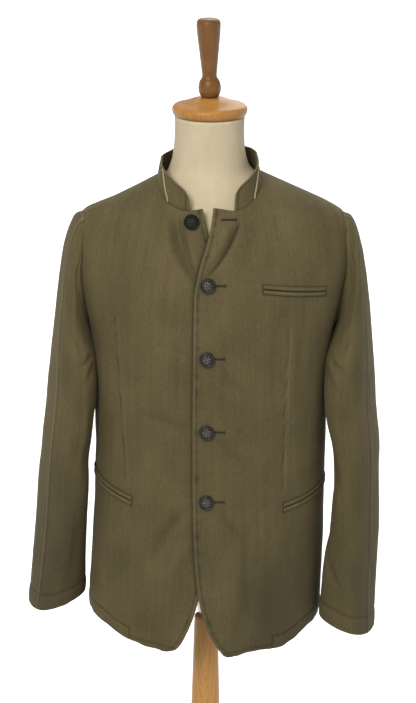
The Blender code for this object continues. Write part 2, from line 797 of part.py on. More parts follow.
def collar_point(side, degrees, share):
    """Outer point of the collar. Share runs from its lower edge to its top."""
    base = collar_base(side, degrees)
    near_end = max(0.0, (degrees - COLLAR_END_ANGLE + COLLAR_ROUNDING) / COLLAR_ROUNDING)
    height = COLLAR_HEIGHTS[side](degrees) * (1.0 - 0.28 * near_end ** 2)
    angle = math.radians(degrees)
    away = Vector((side * math.cos(angle), -math.sin(angle) * 0.55, 0.0))
    rise = Vector((0.0, 0.0, height * share))
    return base + rise + away * COLLAR_LEAN(degrees) * share ** 1.4


def collar_seam(share):
    """Angle of the piped seam, which slants back as it rises."""
    return COLLAR_SEAM_ANGLE - COLLAR_SEAM_SLANT * share


def collar_normal(side, degrees, share):
    """Outward direction of the collar, taken from its plain run clear of the rounded end."""
    turn = min(degrees, COLLAR_END_ANGLE - COLLAR_ROUNDING - 2.0)
    along = collar_point(side, turn + 1.5, share) - collar_point(side, turn - 1.5, share)
    up = collar_point(side, turn, share + 0.05) - collar_point(side, turn, share - 0.05)
    out = (up.cross(along) * side).normalized()
    if degrees > turn:
        spin = Matrix.Rotation(math.radians(-(degrees - turn) * 0.6 * side), 3, "Z")
        out = spin @ out
    return out


def build_collar(name, stations, collection):
    """One collar piece. Stations gives its sides and angles at a share of its height."""
    outer = []
    inner = []
    for share in [0.0, 0.25, 0.5, 0.75, 1.0]:
        outer_row = []
        inner_row = []
        for side, degrees in stations(share):
            point = collar_point(side, degrees, share)
            out = collar_normal(side, degrees, min(0.95, max(0.05, share)))
            outer_row.append(point)
            inner_row.append(point - out * COLLAR_WALL)
        outer.append(outer_row)
        inner.append(inner_row)
    return wall_from_grid(name, outer, inner, "olive_twill", collection)


def build_collar_set(collection):
    """Two collar fronts, the collar back and the cord in each side seam."""
    gap = math.degrees(SEAM_GAP / 2.0 / 0.08)
    for name, side in (("collar_left", 1), ("collar_right", -1)):

        def front_stations(share, side=side):
            start = collar_seam(share) + gap
            return [(side, start + (COLLAR_END_ANGLE - start) * i / 9.0) for i in range(10)]

        build_collar(name, front_stations, collection)

    def back_stations(share):
        end = collar_seam(share) - gap
        run = [end + (-90.0 - end) * i / 12.0 for i in range(13)]
        return [(1, turn) for turn in run] + [(-1, turn) for turn in reversed(run[:-1])]

    build_collar("collar_back", back_stations, collection)
    for name, side in (("collar_piping_left", 1), ("collar_piping_right", -1)):
        path = []
        for i in range(7):
            share = 0.04 + 0.94 * i / 6.0
            out = collar_normal(side, collar_seam(share), min(0.95, max(0.05, share)))
            place = collar_point(side, collar_seam(share), share)
            path.append(place + out * (PIPING_RADIUS + SEAM_GAP * 1.5))
        build_cord(name, path, PIPING_RADIUS, "tan_cord", collection)


def build_cord(name, path, radius, material, collection):
    """Round cord along a path, closed at both ends."""
    data = bpy.data.curves.new(name, "CURVE")
    data.dimensions = "3D"
    data.bevel_depth = radius
    data.bevel_resolution = 2
    data.use_fill_caps = True
    spline = data.splines.new("POLY")
    spline.points.add(len(path) - 1)
    for spot, place in zip(spline.points, path):
        spot.co = (place.x, place.y, place.z, 1.0)
    thing = bpy.data.objects.new(name, data)
    data.materials.append(make_material(material))
    collection.objects.link(thing)
    return thing


def build_jet(name, panel, side, pocket, upper, collection):
    """One lip of a pocket, made from its panel's points moved out."""
    (across, low), (far_angle, high) = pocket
    near_angle = front_angle(side, side * across, low)
    shift = (JET_SLIT / 2.0) if upper else -(JET_SLIT / 2.0 + JET_WIDTH)
    outer = []
    inner = []
    profile = [(0.0, 0.55), (0.35, 1.0), (0.70, 0.95), (1.0, 0.45)]
    for rise, swell in profile:
        outer_row = []
        inner_row = []
        for i in range(11):
            share = i / 10.0
            degrees = near_angle + (far_angle - near_angle) * share
            height = low + (high - low) * share + shift + JET_WIDTH * rise
            point, out = panel_point(panel, side, degrees, height)
            outer_row.append(point + out * (JET_LIFT + JET_THICKNESS * swell))
            inner_row.append(point + out * JET_LIFT)
        outer.append(outer_row)
        inner.append(inner_row)
    return wall_from_grid(name, outer, inner, "olive_twill", collection)


def build_pockets(collection):
    """Chest pocket on the left front and a hip pocket on each front."""
    for level, upper in (("upper", True), ("lower", False)):
        name = "chest_pocket_" + level + "_jet"
        build_jet(name, "front_left", 1, CHEST_POCKET, upper, collection)
        name = "hip_pocket_left_" + level + "_jet"
        build_jet(name, "front_left", 1, LEFT_HIP_POCKET, upper, collection)
        name = "hip_pocket_right_" + level + "_jet"
        build_jet(name, "front_right", -1, RIGHT_HIP_POCKET, upper, collection)


def build_turned(name, profile, steps, material, collection):
    """Turned solid from a profile of radius and height, top to bottom."""
    mesh = bpy.data.meshes.new(name)
    points = [(radius, 0.0, height) for radius, height in profile]
    edges = [(i, i + 1) for i in range(len(points) - 1)]
    mesh.from_pydata(points, edges, [])
    thing = add_object(name, mesh, material, collection)
    screw = thing.modifiers.new("turn", "SCREW")
    screw.axis = "Z"
    screw.steps = steps
    screw.render_steps = steps
    screw.use_merge_vertices = True
    screw.merge_threshold = 0.00005
    return thing


def build_button(name, panel, side, across, height, collection):
    """Shank button standing square on its panel."""
    degrees = front_angle(side, across, height)
    place, out = panel_point(panel, side, degrees, height, BUTTON_LIFT)
    button = build_turned(name, BUTTON_PROFILE, BUTTON_STEPS, "old_metal", collection)
    spin = out.to_track_quat("Z", "Y").to_matrix().to_4x4()
    button.matrix_world = Matrix.Translation(place) @ spin
    return button


def build_buttons(collection):
    """The open top button and the closed row below it."""
    build_button("button_1", "front_right", -1, *OPEN_BUTTON, collection)
    for i, (across, height) in enumerate(CLOSED_BUTTONS):
        build_button("button_" + str(i + 2), "front_left", 1, across, height, collection)


def build_form_body(collection):
    """Smooth torso and neck of the dress form."""
    points = []
    faces = []
    for height, width, front, back in FORM_SECTIONS:
        for j in range(FORM_AROUND):
            angle = 2.0 * math.pi * j / FORM_AROUND
            depth = front if math.sin(angle) < 0.0 else back
            square = FORM_SQUARENESS if height < 1.3 else 2.0
            reach = ring_radius(width, depth, square, angle)
            across = BODY_LEAN(height) if height < 1.36 else BODY_LEAN(1.362)
            lean = across * (1.0 - smooth_step(1.33, 1.44, height)) * smooth_step(0.70, 0.85, height)
            place = Vector((lean + reach * math.cos(angle), reach * math.sin(angle), height))
            points.append(drooped(place) if height < 1.39 else place)
    levels = len(FORM_SECTIONS)
    for i in range(levels - 1):
        for j in range(FORM_AROUND):
            k = (j + 1) % FORM_AROUND
            low = i * FORM_AROUND
            high = low + FORM_AROUND
            faces.append((low + j, low + k, high + k, high + j))
    faces.append(tuple(range(FORM_AROUND)))
    faces.append(tuple((levels - 1) * FORM_AROUND + j for j in range(FORM_AROUND)))
    return close_mesh("form_body", points, faces, "cream_cover", collection)


def build_form(collection):
    """Dress form with its turned wood and metal pieces."""
    build_form_body(collection)
    build_turned("neck_cap", CAP_PROFILE, TURNED_STEPS, "turned_wood", collection)
    finial = build_turned("neck_finial", FINIAL_PROFILE, TURNED_STEPS, "turned_wood", collection)
    foot = Matrix.Translation((0.0, 0.0, FINIAL_PROFILE[-1][1]))
    tilt = Matrix.Rotation(math.radians(FINIAL_TILT), 4, "Y")
    finial.matrix_world = foot @ tilt @ foot.inverted()
    build_turned("pole_ferrule", FERRULE_PROFILE, TURNED_STEPS, "old_metal", collection)
    build_turned("stand_pole", POLE_PROFILE, TURNED_STEPS, "turned_wood", collection)
    build_turned("stand_base", BASE_PROFILE, BASE_STEPS, "turned_wood", collection)


def main():
    """Build every piece of the jacket and the form."""
    clear_scene()
    collection = bpy.data.collections.new(PART_COLLECTION)
    bpy.context.scene.collection.children.link(collection)
    build_panel("front_left", 1, True, collection)
    build_panel("front_right", -1, True, collection)
    build_panel("back_left", 1, False, collection)
    build_panel("back_right", -1, False, collection)
    for side, word in ((1, "left"), (-1, "right")):
        over = OVER_ARM_SEAM[side]
        build_sleeve_half(f"sleeve_{word}_front", side, over, UNDER_ARM_SEAM, collection)
        build_sleeve_half(f"sleeve_{word}_back", side, UNDER_ARM_SEAM, over + 360.0, collection)
    build_collar_set(collection)
    build_pockets(collection)
    build_buttons(collection)
    build_form(collection)


main()
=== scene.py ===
"""Looks of the trachten jacket on its dress form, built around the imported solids.

The tables and cut lines repeat those of the part's source, in metres, so each cloth piece lies on
its solid. The finer folds, seams, stitches and finishes are added here.
"""
import math
from functools import lru_cache

import bmesh
import bpy
import numpy as np
from mathutils import Matrix, Vector, noise


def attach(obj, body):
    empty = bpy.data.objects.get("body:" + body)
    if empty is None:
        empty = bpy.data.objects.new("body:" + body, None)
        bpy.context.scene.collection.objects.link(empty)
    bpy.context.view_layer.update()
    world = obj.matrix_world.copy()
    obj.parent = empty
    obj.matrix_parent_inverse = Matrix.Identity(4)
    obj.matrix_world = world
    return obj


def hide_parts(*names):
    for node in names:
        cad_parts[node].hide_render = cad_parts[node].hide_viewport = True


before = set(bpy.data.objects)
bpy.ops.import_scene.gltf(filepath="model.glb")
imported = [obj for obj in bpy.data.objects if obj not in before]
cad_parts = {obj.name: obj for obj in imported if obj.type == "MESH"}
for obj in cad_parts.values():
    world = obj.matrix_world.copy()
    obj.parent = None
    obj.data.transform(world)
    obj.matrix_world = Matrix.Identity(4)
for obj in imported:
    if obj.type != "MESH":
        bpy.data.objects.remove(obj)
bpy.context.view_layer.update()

# Cloth walls, and how far laid pieces stand off
CLOTH_WALL = 0.0016
COLLAR_WALL = 0.0022
FRONT_LAP = 0.0015
SLEEVE_LAP = 0.0024
SLEEVE_HEAD_LIFT = 0.0020

# Jacket shell, one row per level: height, half width, front depth, back depth, squareness, lean
BODY_SECTIONS = [
    (0.585, 0.1870, 0.1440, 0.1290, 2.30, -0.0035),
    (0.660, 0.1882, 0.1455, 0.1300, 2.30, -0.0025),
    (0.740, 0.1875, 0.1450, 0.1290, 2.30, 0.0010),
    (0.830, 0.1850, 0.1420, 0.1180, 2.30, 0.0040),
    (0.920, 0.1850, 0.1385, 0.1040, 2.30, 0.0050),
    (1.010, 0.1870, 0.1370, 0.1020, 2.32, 0.0050),
    (1.100, 0.1930, 0.1345, 0.1120, 2.34, 0.0055),
    (1.170, 0.2080, 0.1270, 0.1180, 2.30, 0.0060),
    (1.230, 0.2190, 0.1150, 0.1170, 2.20, 0.0060),
    (1.275, 0.2180, 0.1020, 0.1110, 2.10, 0.0060),
    (1.296, 0.2070, 0.0950, 0.1055, 2.05, 0.0060),
    (1.310, 0.1860, 0.0910, 0.1015, 2.00, 0.0050),
    (1.325, 0.1545, 0.0865, 0.0965, 2.00, 0.0040),
    (1.345, 0.1120, 0.0745, 0.0870, 2.00, 0.0015),
    (1.362, 0.0760, 0.0560, 0.0775, 2.00, -0.0010),
    (1.376, 0.0460, 0.0400, 0.0690, 2.00, -0.0020),
]

# Cut lines of the shell
SIDE_SEAM_ANGLE = 4.0
ARMPIT_HEIGHT = 1.090
SHOULDER_TIP = (0.205, -0.010)
SHOULDER_NECK = (0.081, -0.006)
NECK_HALF_WIDTH = 0.0805
NECK_FRONT = 0.0880
NECK_BACK = 0.0780
NECK_SQUARENESS = 3.4
NECK_EDGE_HEIGHT = 1.322
SHOULDER_SEARCH = (1.240, 1.376)
ARMHOLE_FRONT_SCOOP = {1: 9.0, -1: 14.0}
ARMHOLE_BACK_SCOOP = 15.0
SHOULDER_DROP = 0.008

# Hem height round the shell: angle from the side in degrees, left height, right height
HEM_LINE = [
    (-102.0, 0.598, 0.6055), (-80.0, 0.598, 0.6052), (-70.0, 0.600, 0.6060), (-61.0, 0.606, 0.6100),
    (-50.0, 0.607, 0.6155), (-43.0, 0.608, 0.6205), (-35.0, 0.617, 0.6285), (-25.0, 0.630, 0.6375),
    (4.0, 0.640, 0.6460), (40.0, 0.640, 0.6420), (90.0, 0.640, 0.6400),
]

# Front edges from the hem to the neck: height, place across the chest
LEFT_FRONT_EDGE = [
    (0.5980, 0.0350), (0.6010, 0.0290), (0.6083, 0.0225), (0.6220, 0.0130),
    (0.6387, 0.0045), (0.6600, -0.0035), (0.6800, -0.0090), (0.7120, -0.0145),
    (0.7570, -0.0185), (0.8300, -0.0220), (1.0000, -0.0235), (1.1800, -0.0225),
    (1.2300, -0.0140), (1.2700, -0.0020), (1.3000, 0.0040), (1.3450, 0.0090),
]
RIGHT_FRONT_EDGE = [
    (0.6055, -0.0640), (0.6068, -0.0560), (0.6100, -0.0480), (0.6175, -0.0410),
    (0.6295, -0.0345), (0.6634, -0.0205), (0.6886, -0.0135), (0.7200, -0.0050),
    (0.7600, 0.0060), (0.8300, 0.0190), (1.0000, 0.0220), (1.1800, 0.0210),
    (1.2400, 0.0130), (1.2800, -0.0010), (1.3100, -0.0080), (1.3450, -0.0120),
]

# Largest folds: panel, start across and height, end across and height, half width, depth
BODY_FOLDS = [
    ("front_left", 0.050, 1.295, 0.012, 1.240, 0.011, -0.0026),
    ("front_left", 0.014, 1.305, 0.000, 1.270, 0.018, 0.0036),
    ("front_right", -0.052, 1.300, -0.022, 1.205, 0.017, -0.0030),
    ("front_right", 0.000, 1.270, 0.000, 1.190, 0.030, -0.0040),
    ("front_right", -0.030, 0.830, -0.094, 0.735, 0.022, -0.0030),
    ("front_right", -0.075, 0.800, -0.120, 0.690, 0.024, 0.0030),
    ("front_left", 0.079, 0.790, 0.074, 0.640, 0.016, -0.0058),
    ("front_left", 0.052, 0.760, 0.050, 0.650, 0.018, 0.0026),
    ("back_left", 0.050, 0.820, 0.060, 0.660, 0.024, -0.0040),
    ("back_left", 0.070, 1.180, 0.110, 1.060, 0.024, -0.0030),
    ("back_right", -0.052, 0.830, -0.066, 0.670, 0.024, -0.0040),
    ("back_right", -0.080, 1.170, -0.112, 1.050, 0.024, -0.0030),
]

# Sleeves below the armpit, one row per ring: height, centre across, centre depth, half width,
# half depth, turn in degrees
LEFT_SLEEVE_RINGS = [
    (1.060, 0.2288, -0.018, 0.0302, 0.0690, 15.0),
    (0.990, 0.2294, -0.024, 0.0334, 0.0725, 17.0),
    (0.900, 0.2395, -0.032, 0.0295, 0.0700, 19.0),
    (0.800, 0.2385, -0.040, 0.0318, 0.0635, 21.0),
    (0.710, 0.2312, -0.046, 0.0378, 0.0560, 23.0),
    (0.632, 0.2272, -0.050, 0.0412, 0.0490, 24.0),
]
RIGHT_SLEEVE_RINGS = [
    (1.060, 0.2174, -0.016, 0.0284, 0.0690, 15.0),
    (0.990, 0.2194, -0.020, 0.0324, 0.0725, 17.0),
    (0.900, 0.2285, -0.022, 0.0330, 0.0700, 19.0),
    (0.800, 0.2348, -0.016, 0.0342, 0.0635, 21.0),
    (0.720, 0.2400, -0.008, 0.0382, 0.0560, 23.0),
    (0.652, 0.2436, 0.000, 0.0428, 0.0490, 24.0),
]
SLEEVE_CAP_REACH = {1: 0.102, -1: 0.097}
SLEEVE_LAP_SPREAD = (1.09, 1.018)
SLEEVE_CAP_SHARE = 0.40
OVER_ARM_SEAM = {1: 8.0, -1: 17.0}
UNDER_ARM_SEAM = 180.0
CUFF_TILT = 0.0160
SLEEVE_SQUARENESS = 2.6

# Largest sleeve folds: sleeve side, turn round the sleeve, share of its length, half turn, half
# length, depth
SLEEVE_FOLDS = [
    (1, 95.0, 0.30, 40.0, 0.045, -0.0045),
    (1, 70.0, 0.52, 46.0, 0.040, -0.0040),
    (1, 110.0, 0.66, 44.0, 0.038, -0.0040),
    (1, 250.0, 0.45, 46.0, 0.045, -0.0040),
    (1, 270.0, 0.62, 46.0, 0.040, -0.0040),
    (-1, 100.0, 0.33, 42.0, 0.045, -0.0045),
    (-1, 75.0, 0.50, 46.0, 0.040, -0.0040),
    (-1, 105.0, 0.62, 44.0, 0.038, -0.0045),
    (-1, 255.0, 0.42, 46.0, 0.045, -0.0040),
    (-1, 275.0, 0.60, 46.0, 0.040, -0.0040),
]

# Stand collar round the neck: angle, left height, right height, lean out at its top
COLLAR_STATIONS = [
    (-90.0, 0.0280, 0.0280, -0.0070),
    (0.0, 0.0310, 0.0310, -0.0060),
    (34.0, 0.0390, 0.0390, -0.0030),
    (47.0, 0.0440, 0.0430, 0.0010),
    (58.0, 0.0410, 0.0370, 0.0030),
    (68.0, 0.0330, 0.0260, 0.0040),
]
COLLAR_END_ANGLE = 68.0
COLLAR_ROUNDING = 5.5
COLLAR_SEAM_ANGLE = 47.0
COLLAR_SEAM_SLANT = 11.5
COLLAR_RISE = 0.0014
PIPING_RADIUS = 0.0012

# Pockets: inner end across and height, outer end angle and height
CHEST_POCKET = ((0.085, 1.198), (-23.5, 1.186))
LEFT_HIP_POCKET = ((0.1210, 0.842), (-6.0, 0.864))
RIGHT_HIP_POCKET = ((0.1195, 0.850), (-5.0, 0.877))
JET_WIDTH = 0.0070
JET_SLIT = 0.0007
JET_LIFT = 0.0006
JET_THICKNESS = 0.0017

# Buttons
BUTTON_RADIUS = 0.0120
BUTTON_LIFT = 0.0006
OPEN_BUTTON = (-0.0270, 1.2990)
CLOSED_BUTTONS = [(-0.0010, 1.2040), (-0.0015, 1.0900), (-0.0010, 0.9720), (-0.0010, 0.8580)]
BUTTON_PROFILE = [
    (0.0000, 0.0066), (0.0040, 0.0063), (0.0082, 0.0052), (0.0096, 0.0046),
    (0.0106, 0.0050), (0.0118, 0.0044), (0.0120, 0.0034), (0.0112, 0.0026),
    (0.0034, 0.0022), (0.0030, 0.0000), (0.0000, 0.0000),
]

# Dress form, one row per level: height, half width, front depth, back depth
FORM_SECTIONS = [
    (0.700, 0.1380, 0.0960, 0.0860),
    (0.706, 0.1500, 0.1060, 0.0960),
    (0.730, 0.1560, 0.1110, 0.1030),
    (0.780, 0.1580, 0.1130, 0.1020),
    (0.850, 0.1560, 0.1110, 0.0920),
    (0.920, 0.1550, 0.1080, 0.0830),
    (1.010, 0.1600, 0.1110, 0.0820),
    (1.100, 0.1690, 0.1140, 0.0930),
    (1.170, 0.1810, 0.1080, 0.1010),
    (1.230, 0.1920, 0.0980, 0.1020),
    (1.270, 0.1980, 0.0885, 0.0985),
    (1.290, 0.1910, 0.0805, 0.0960),
    (1.306, 0.1730, 0.0755, 0.0935),
    (1.322, 0.1430, 0.0705, 0.0895),
    (1.340, 0.1060, 0.0650, 0.0820),
    (1.355, 0.0790, 0.0610, 0.0710),
    (1.372, 0.0630, 0.0570, 0.0610),
    (1.398, 0.0560, 0.0550, 0.0560),
    (1.430, 0.0545, 0.0545, 0.0545),
    (1.4485, 0.0550, 0.0550, 0.0550),
]
FORM_SQUARENESS = 2.15

# Turned pieces of the form, from top to bottom: radius, height
CAP_PROFILE = [
    (0.0000, 1.4785), (0.0180, 1.4785), (0.0300, 1.4750), (0.0420, 1.4700),
    (0.0500, 1.4680), (0.0560, 1.4665), (0.0590, 1.4625), (0.0595, 1.4575),
    (0.0575, 1.4520), (0.0540, 1.4490), (0.0000, 1.4490),
]
FINIAL_PROFILE = [
    (0.0000, 1.6030), (0.0140, 1.6025), (0.0182, 1.5995), (0.0192, 1.5940),
    (0.0182, 1.5790), (0.0152, 1.5500), (0.0126, 1.5250), (0.0113, 1.5120),
    (0.0128, 1.5085), (0.0160, 1.5040), (0.0178, 1.4960), (0.0174, 1.4880),
    (0.0150, 1.4815), (0.0136, 1.4793), (0.0000, 1.4793),
]
FERRULE_PROFILE = [
    (0.0000, 0.6995), (0.0150, 0.6995), (0.0150, 0.6205), (0.0000, 0.6205),
]
POLE_PROFILE = [
    (0.0000, 0.6200), (0.0170, 0.6200), (0.0190, 0.6170), (0.0196, 0.6000),
    (0.0214, 0.5300), (0.0236, 0.4500), (0.0250, 0.3700), (0.0246, 0.2700),
    (0.0226, 0.1500), (0.0215, 0.0700), (0.0225, 0.0505), (0.0000, 0.0505),
]
BASE_PROFILE = [
    (0.0000, 0.0500), (0.0380, 0.0500), (0.0440, 0.0460), (0.0500, 0.0390),
    (0.0900, 0.0330), (0.1500, 0.0270), (0.1680, 0.0230), (0.1750, 0.0150),
    (0.1730, 0.0040), (0.1690, 0.0000), (0.0000, 0.0000),
]
FINIAL_TILT = -1.4


def smooth_step(low, high, at):
    """Ease from zero at low to one at high."""
    share = min(1.0, max(0.0, (at - low) / (high - low)))
    return share * share * (3.0 - 2.0 * share)


def window(low, full, fading, high, at):
    """Ease up from low to full, and down again from fading to high."""
    return smooth_step(low, full, at) * (1.0 - smooth_step(fading, high, at))


def bell(off, half):
    """Soft bump, one at zero and nearly gone at twice its half width."""
    return math.exp(-(off / half) ** 2)


def limit(value, low=-1.0, high=1.0):
    """Value kept between two ends."""
    return max(low, min(high, value))


def evenly(first, last, count):
    """Evenly spaced values from first to last."""
    return [first + (last - first) * i / (count - 1.0) for i in range(count)]


def hermite(start, leave, end, arrive, t):
    """Smooth run between two values or points that leaves and arrives with given slopes."""
    return (
        start * (1.0 + 2.0 * t) * (1.0 - t) ** 2
        + leave * t * (1.0 - t) ** 2
        + end * t * t * (3.0 - 2.0 * t)
        + arrive * t * t * (t - 1.0)
    )


def slopes(knots, values):
    """Slopes of a smooth curve that never overshoots its rows."""
    count = len(knots)
    steps = [knots[i + 1] - knots[i] for i in range(count - 1)]
    rises = [(values[i + 1] - values[i]) / steps[i] for i in range(count - 1)]
    result = [rises[0]]
    for i in range(1, count - 1):
        if rises[i - 1] * rises[i] <= 0.0:
            result.append(0.0)
        else:
            before = 2.0 * steps[i] + steps[i - 1]
            after = steps[i] + 2.0 * steps[i - 1]
            result.append((before + after) / (before / rises[i - 1] + after / rises[i]))
    result.append(rises[-1])
    return result


def make_curve(table, column):
    """Smooth curve through one column of a table, keyed by its first column."""
    rows = sorted(table, key=lambda row: row[0])
    knots = [row[0] for row in rows]
    values = [row[column] for row in rows]
    ramps = slopes(knots, values)

    def curve(at):
        if at <= knots[0]:
            return values[0] + ramps[0] * (at - knots[0])
        if at >= knots[-1]:
            return values[-1] + ramps[-1] * (at - knots[-1])
        i = 0
        while at > knots[i + 1]:
            i += 1
        span = knots[i + 1] - knots[i]
        t = (at - knots[i]) / span
        return hermite(values[i], ramps[i] * span, values[i + 1], ramps[i + 1] * span, t)

    return curve


def make_curves(table):
    """Smooth curves through all later columns of a table."""
    return [make_curve(table, column) for column in range(1, len(table[0]))]


BODY_WIDTH, BODY_FRONT, BODY_BACK, BODY_SQUARE, BODY_LEAN = make_curves(BODY_SECTIONS)
HEM_HEIGHTS = dict(zip((1, -1), make_curves(HEM_LINE)))
FRONT_EDGES = {1: make_curve(LEFT_FRONT_EDGE, 1), -1: make_curve(RIGHT_FRONT_EDGE, 1)}
EDGE_LOWS = {1: LEFT_FRONT_EDGE[0][0], -1: RIGHT_FRONT_EDGE[0][0]}
*COLLAR_TOPS, COLLAR_LEAN = make_curves(COLLAR_STATIONS)
COLLAR_HEIGHTS = dict(zip((1, -1), COLLAR_TOPS))


def ring_radius(width, depth, square, angle):
    """Distance from the axis to a rounded-square ring, in metres."""
    across = abs(math.cos(angle)) / width
    along = abs(math.sin(angle)) / depth
    return (across ** square + along ** square) ** (-1.0 / square)


def drooped(point):
    """Let the right shoulder sink a little between the neck and the sleeve."""
    share = window(0.030, 0.080, 0.150, 0.215, -point.x)
    share *= smooth_step(1.220, 1.310, point.z)
    return point - Vector((0.0, 0.0, SHOULDER_DROP * share))


def shell_point(side, degrees, height):
    """Point of the smooth jacket shell. Zero degrees is the side, -90 the front middle."""
    angle = math.radians(degrees)
    depth = BODY_FRONT(height) if degrees < 0.0 else BODY_BACK(height)
    reach = ring_radius(BODY_WIDTH(height), depth, BODY_SQUARE(height), angle)
    across = BODY_LEAN(height) + side * reach * math.cos(angle)
    return drooped(Vector((across, reach * math.sin(angle), height)))


def shell_normal(side, degrees, height):
    """Outward direction of the smooth jacket shell."""
    turn = 1.5
    rise = 0.004
    along = shell_point(side, degrees + turn, height) - shell_point(side, degrees - turn, height)
    up = shell_point(side, degrees, height + rise) - shell_point(side, degrees, height - rise)
    return (along.cross(up) * side).normalized()


def front_angle(side, across, height):
    """Angle of the front point at a place across the chest."""
    local = side * (across - BODY_LEAN(height))
    square = BODY_SQUARE(height)
    share = min(0.9999, abs(local) / BODY_WIDTH(height))
    depth = -BODY_FRONT(height) * (1.0 - share ** square) ** (1.0 / square)
    return math.degrees(math.atan2(depth, local))


def shoulder_spot(across, depth):
    """Angle and height of the shell above one plan point, both sides alike."""
    low, high = SHOULDER_SEARCH
    for _ in range(50):
        middle = (low + high) / 2.0
        reach = BODY_FRONT(middle) if depth < 0.0 else BODY_BACK(middle)
        square = BODY_SQUARE(middle)
        if (abs(across) / BODY_WIDTH(middle)) ** square + (abs(depth) / reach) ** square > 1.0:
            high = middle
        else:
            low = middle
    return math.degrees(math.atan2(depth, across)), (low + high) / 2.0


def neck_plan(degrees):
    """Plan point of the neck line. Zero is the shoulder seam, 90 the front, -90 the back."""
    angle = math.radians(degrees)
    deep = NECK_FRONT if degrees > 0.0 else NECK_BACK
    square = NECK_SQUARENESS if degrees > 0.0 else 2.0
    reach = ring_radius(NECK_HALF_WIDTH, deep, square, angle)
    depth = -reach * math.sin(angle) + SHOULDER_NECK[1] * math.cos(angle) ** 2
    return reach * math.cos(angle), depth


def neck_turn(across):
    """Angle of the neck line at a distance across from the middle of the front."""
    share = (across / NECK_HALF_WIDTH) ** NECK_SQUARENESS
    depth = NECK_FRONT * (1.0 - share) ** (1.0 / NECK_SQUARENESS)
    return math.degrees(math.atan2(depth, across))


def neck_spot(degrees):
    """Angle and height of the neck line on the shell."""
    across, depth = neck_plan(degrees)
    return shoulder_spot(across, depth)


def shoulder_seam(share):
    """Angle and height along the shoulder seam from the neck to the tip."""
    across = SHOULDER_NECK[0] + (SHOULDER_TIP[0] - SHOULDER_NECK[0]) * share
    depth = SHOULDER_NECK[1] + (SHOULDER_TIP[1] - SHOULDER_NECK[1]) * share
    return shoulder_spot(across, depth)


TIP_ANGLE, TIP_HEIGHT = shoulder_seam(1.0)


def armhole(share, scoop):
    """Angle and height along one half of the armhole from the armpit to the shoulder tip."""
    turn = math.pi * share
    height = ARMPIT_HEIGHT + (TIP_HEIGHT - ARMPIT_HEIGHT) * (1.0 - math.cos(turn)) / 2.0
    base = SIDE_SEAM_ANGLE + (TIP_ANGLE - SIDE_SEAM_ANGLE) * (1.0 - math.cos(turn)) / 2.0
    return base + scoop * math.sin(turn) ** 0.85, height


def fold_place(row, across, height):
    """Distance along a fold's line from its start, distance off the line, and its length."""
    x0, z0, x1, z1 = row[:4]
    length = math.hypot(x1 - x0, z1 - z0)
    along = ((across - x0) * (x1 - x0) + (height - z0) * (z1 - z0)) / length
    off = ((across - x0) * (z1 - z0) - (height - z0) * (x1 - x0)) / length
    return along, off, length


def fold_depth(panel, across, height):
    """Sum of the large folds of one panel at a point."""
    total = 0.0
    for name, *row in BODY_FOLDS:
        if name != panel:
            continue
        along, off, length = fold_place(row, across, height)
        width, depth = row[4:]
        ends = smooth_step(-width, 0.35 * length, along)
        ends *= 1.0 - smooth_step(0.65 * length, length + width, along)
        total += depth * ends * bell(off, width)
    return total


def lap_lift(panel, across, height):
    """How far a front stands off the smooth shell where the two fronts overlap."""
    closed = 1.0 - smooth_step(1.285, 1.315, height)
    if panel == "front_left":
        return FRONT_LAP * closed * (1.0 - smooth_step(0.035, 0.085, across))
    if panel == "front_right":
        return -FRONT_LAP * closed * smooth_step(-0.085, -0.035, across)
    return 0.0


def panel_point(panel, side, degrees, height, lift=0.0):
    """Outer point of a panel and its outward direction."""
    point = shell_point(side, degrees, height)
    out = shell_normal(side, degrees, height)
    height_off = lap_lift(panel, point.x, height) + fold_depth(panel, point.x, height)
    return point + out * (height_off + lift), out


def sleeve_ring_point(rings, side, degrees, height):
    """Point of a sleeve below the armpit. Zero degrees is the outer side, 90 the front."""
    across, depth, half_width, half_depth, turn = (ring(height) for ring in rings)
    turn = math.radians(turn)
    angle = math.radians(degrees)
    bulge = ring_radius(1.0, 1.0, SLEEVE_SQUARENESS, angle)
    out = half_width * bulge * math.cos(angle)
    forward = half_depth * bulge * math.sin(angle)
    x = across + out * math.cos(turn) - forward * math.sin(turn)
    y = depth - forward * math.cos(turn) - out * math.sin(turn)
    low = min(LEFT_SLEEVE_RINGS[-1][0], RIGHT_SLEEVE_RINGS[-1][0])
    tilt = CUFF_TILT * (1.0 - smooth_step(low, LEFT_SLEEVE_RINGS[1][0], height))
    return Vector((side * x, y, height - tilt * math.cos(angle)))


@lru_cache(maxsize=None)
def armhole_point(side, degrees):
    """Start of the sleeve on the armhole. Zero degrees is the shoulder tip, 180 the armpit."""
    if degrees <= 180.0:
        spot = armhole(1.0 - degrees / 180.0, -ARMHOLE_FRONT_SCOOP[side])
    else:
        spot = armhole((degrees - 180.0) / 180.0, ARMHOLE_BACK_SCOOP)
    middle_angle = (SIDE_SEAM_ANGLE + TIP_ANGLE) / 2.0
    middle_height = (ARMPIT_HEIGHT + TIP_HEIGHT) / 2.0
    turn = middle_angle + (spot[0] - middle_angle) * SLEEVE_LAP_SPREAD[0]
    height = middle_height + (spot[1] - middle_height) * SLEEVE_LAP_SPREAD[1]
    point = shell_point(side, turn, height)
    out = shell_normal(side, turn, height)
    upper = (1.0 + math.cos(math.radians(degrees))) / 2.0
    return point + out * (SLEEVE_LAP + SLEEVE_HEAD_LIFT * upper)


def sleeve_fold(side, degrees, share):
    """Depth of the large sleeve folds at a point."""
    total = 0.0
    for fold_side, turn, place, half_turn, half_length, depth in SLEEVE_FOLDS:
        if fold_side != side:
            continue
        around = (degrees - turn + 180.0) % 360.0 - 180.0
        off = around / half_turn
        slant = (share - place - 0.0005 * around) / half_length
        total += depth * math.exp(-off * off - slant * slant)
    return total


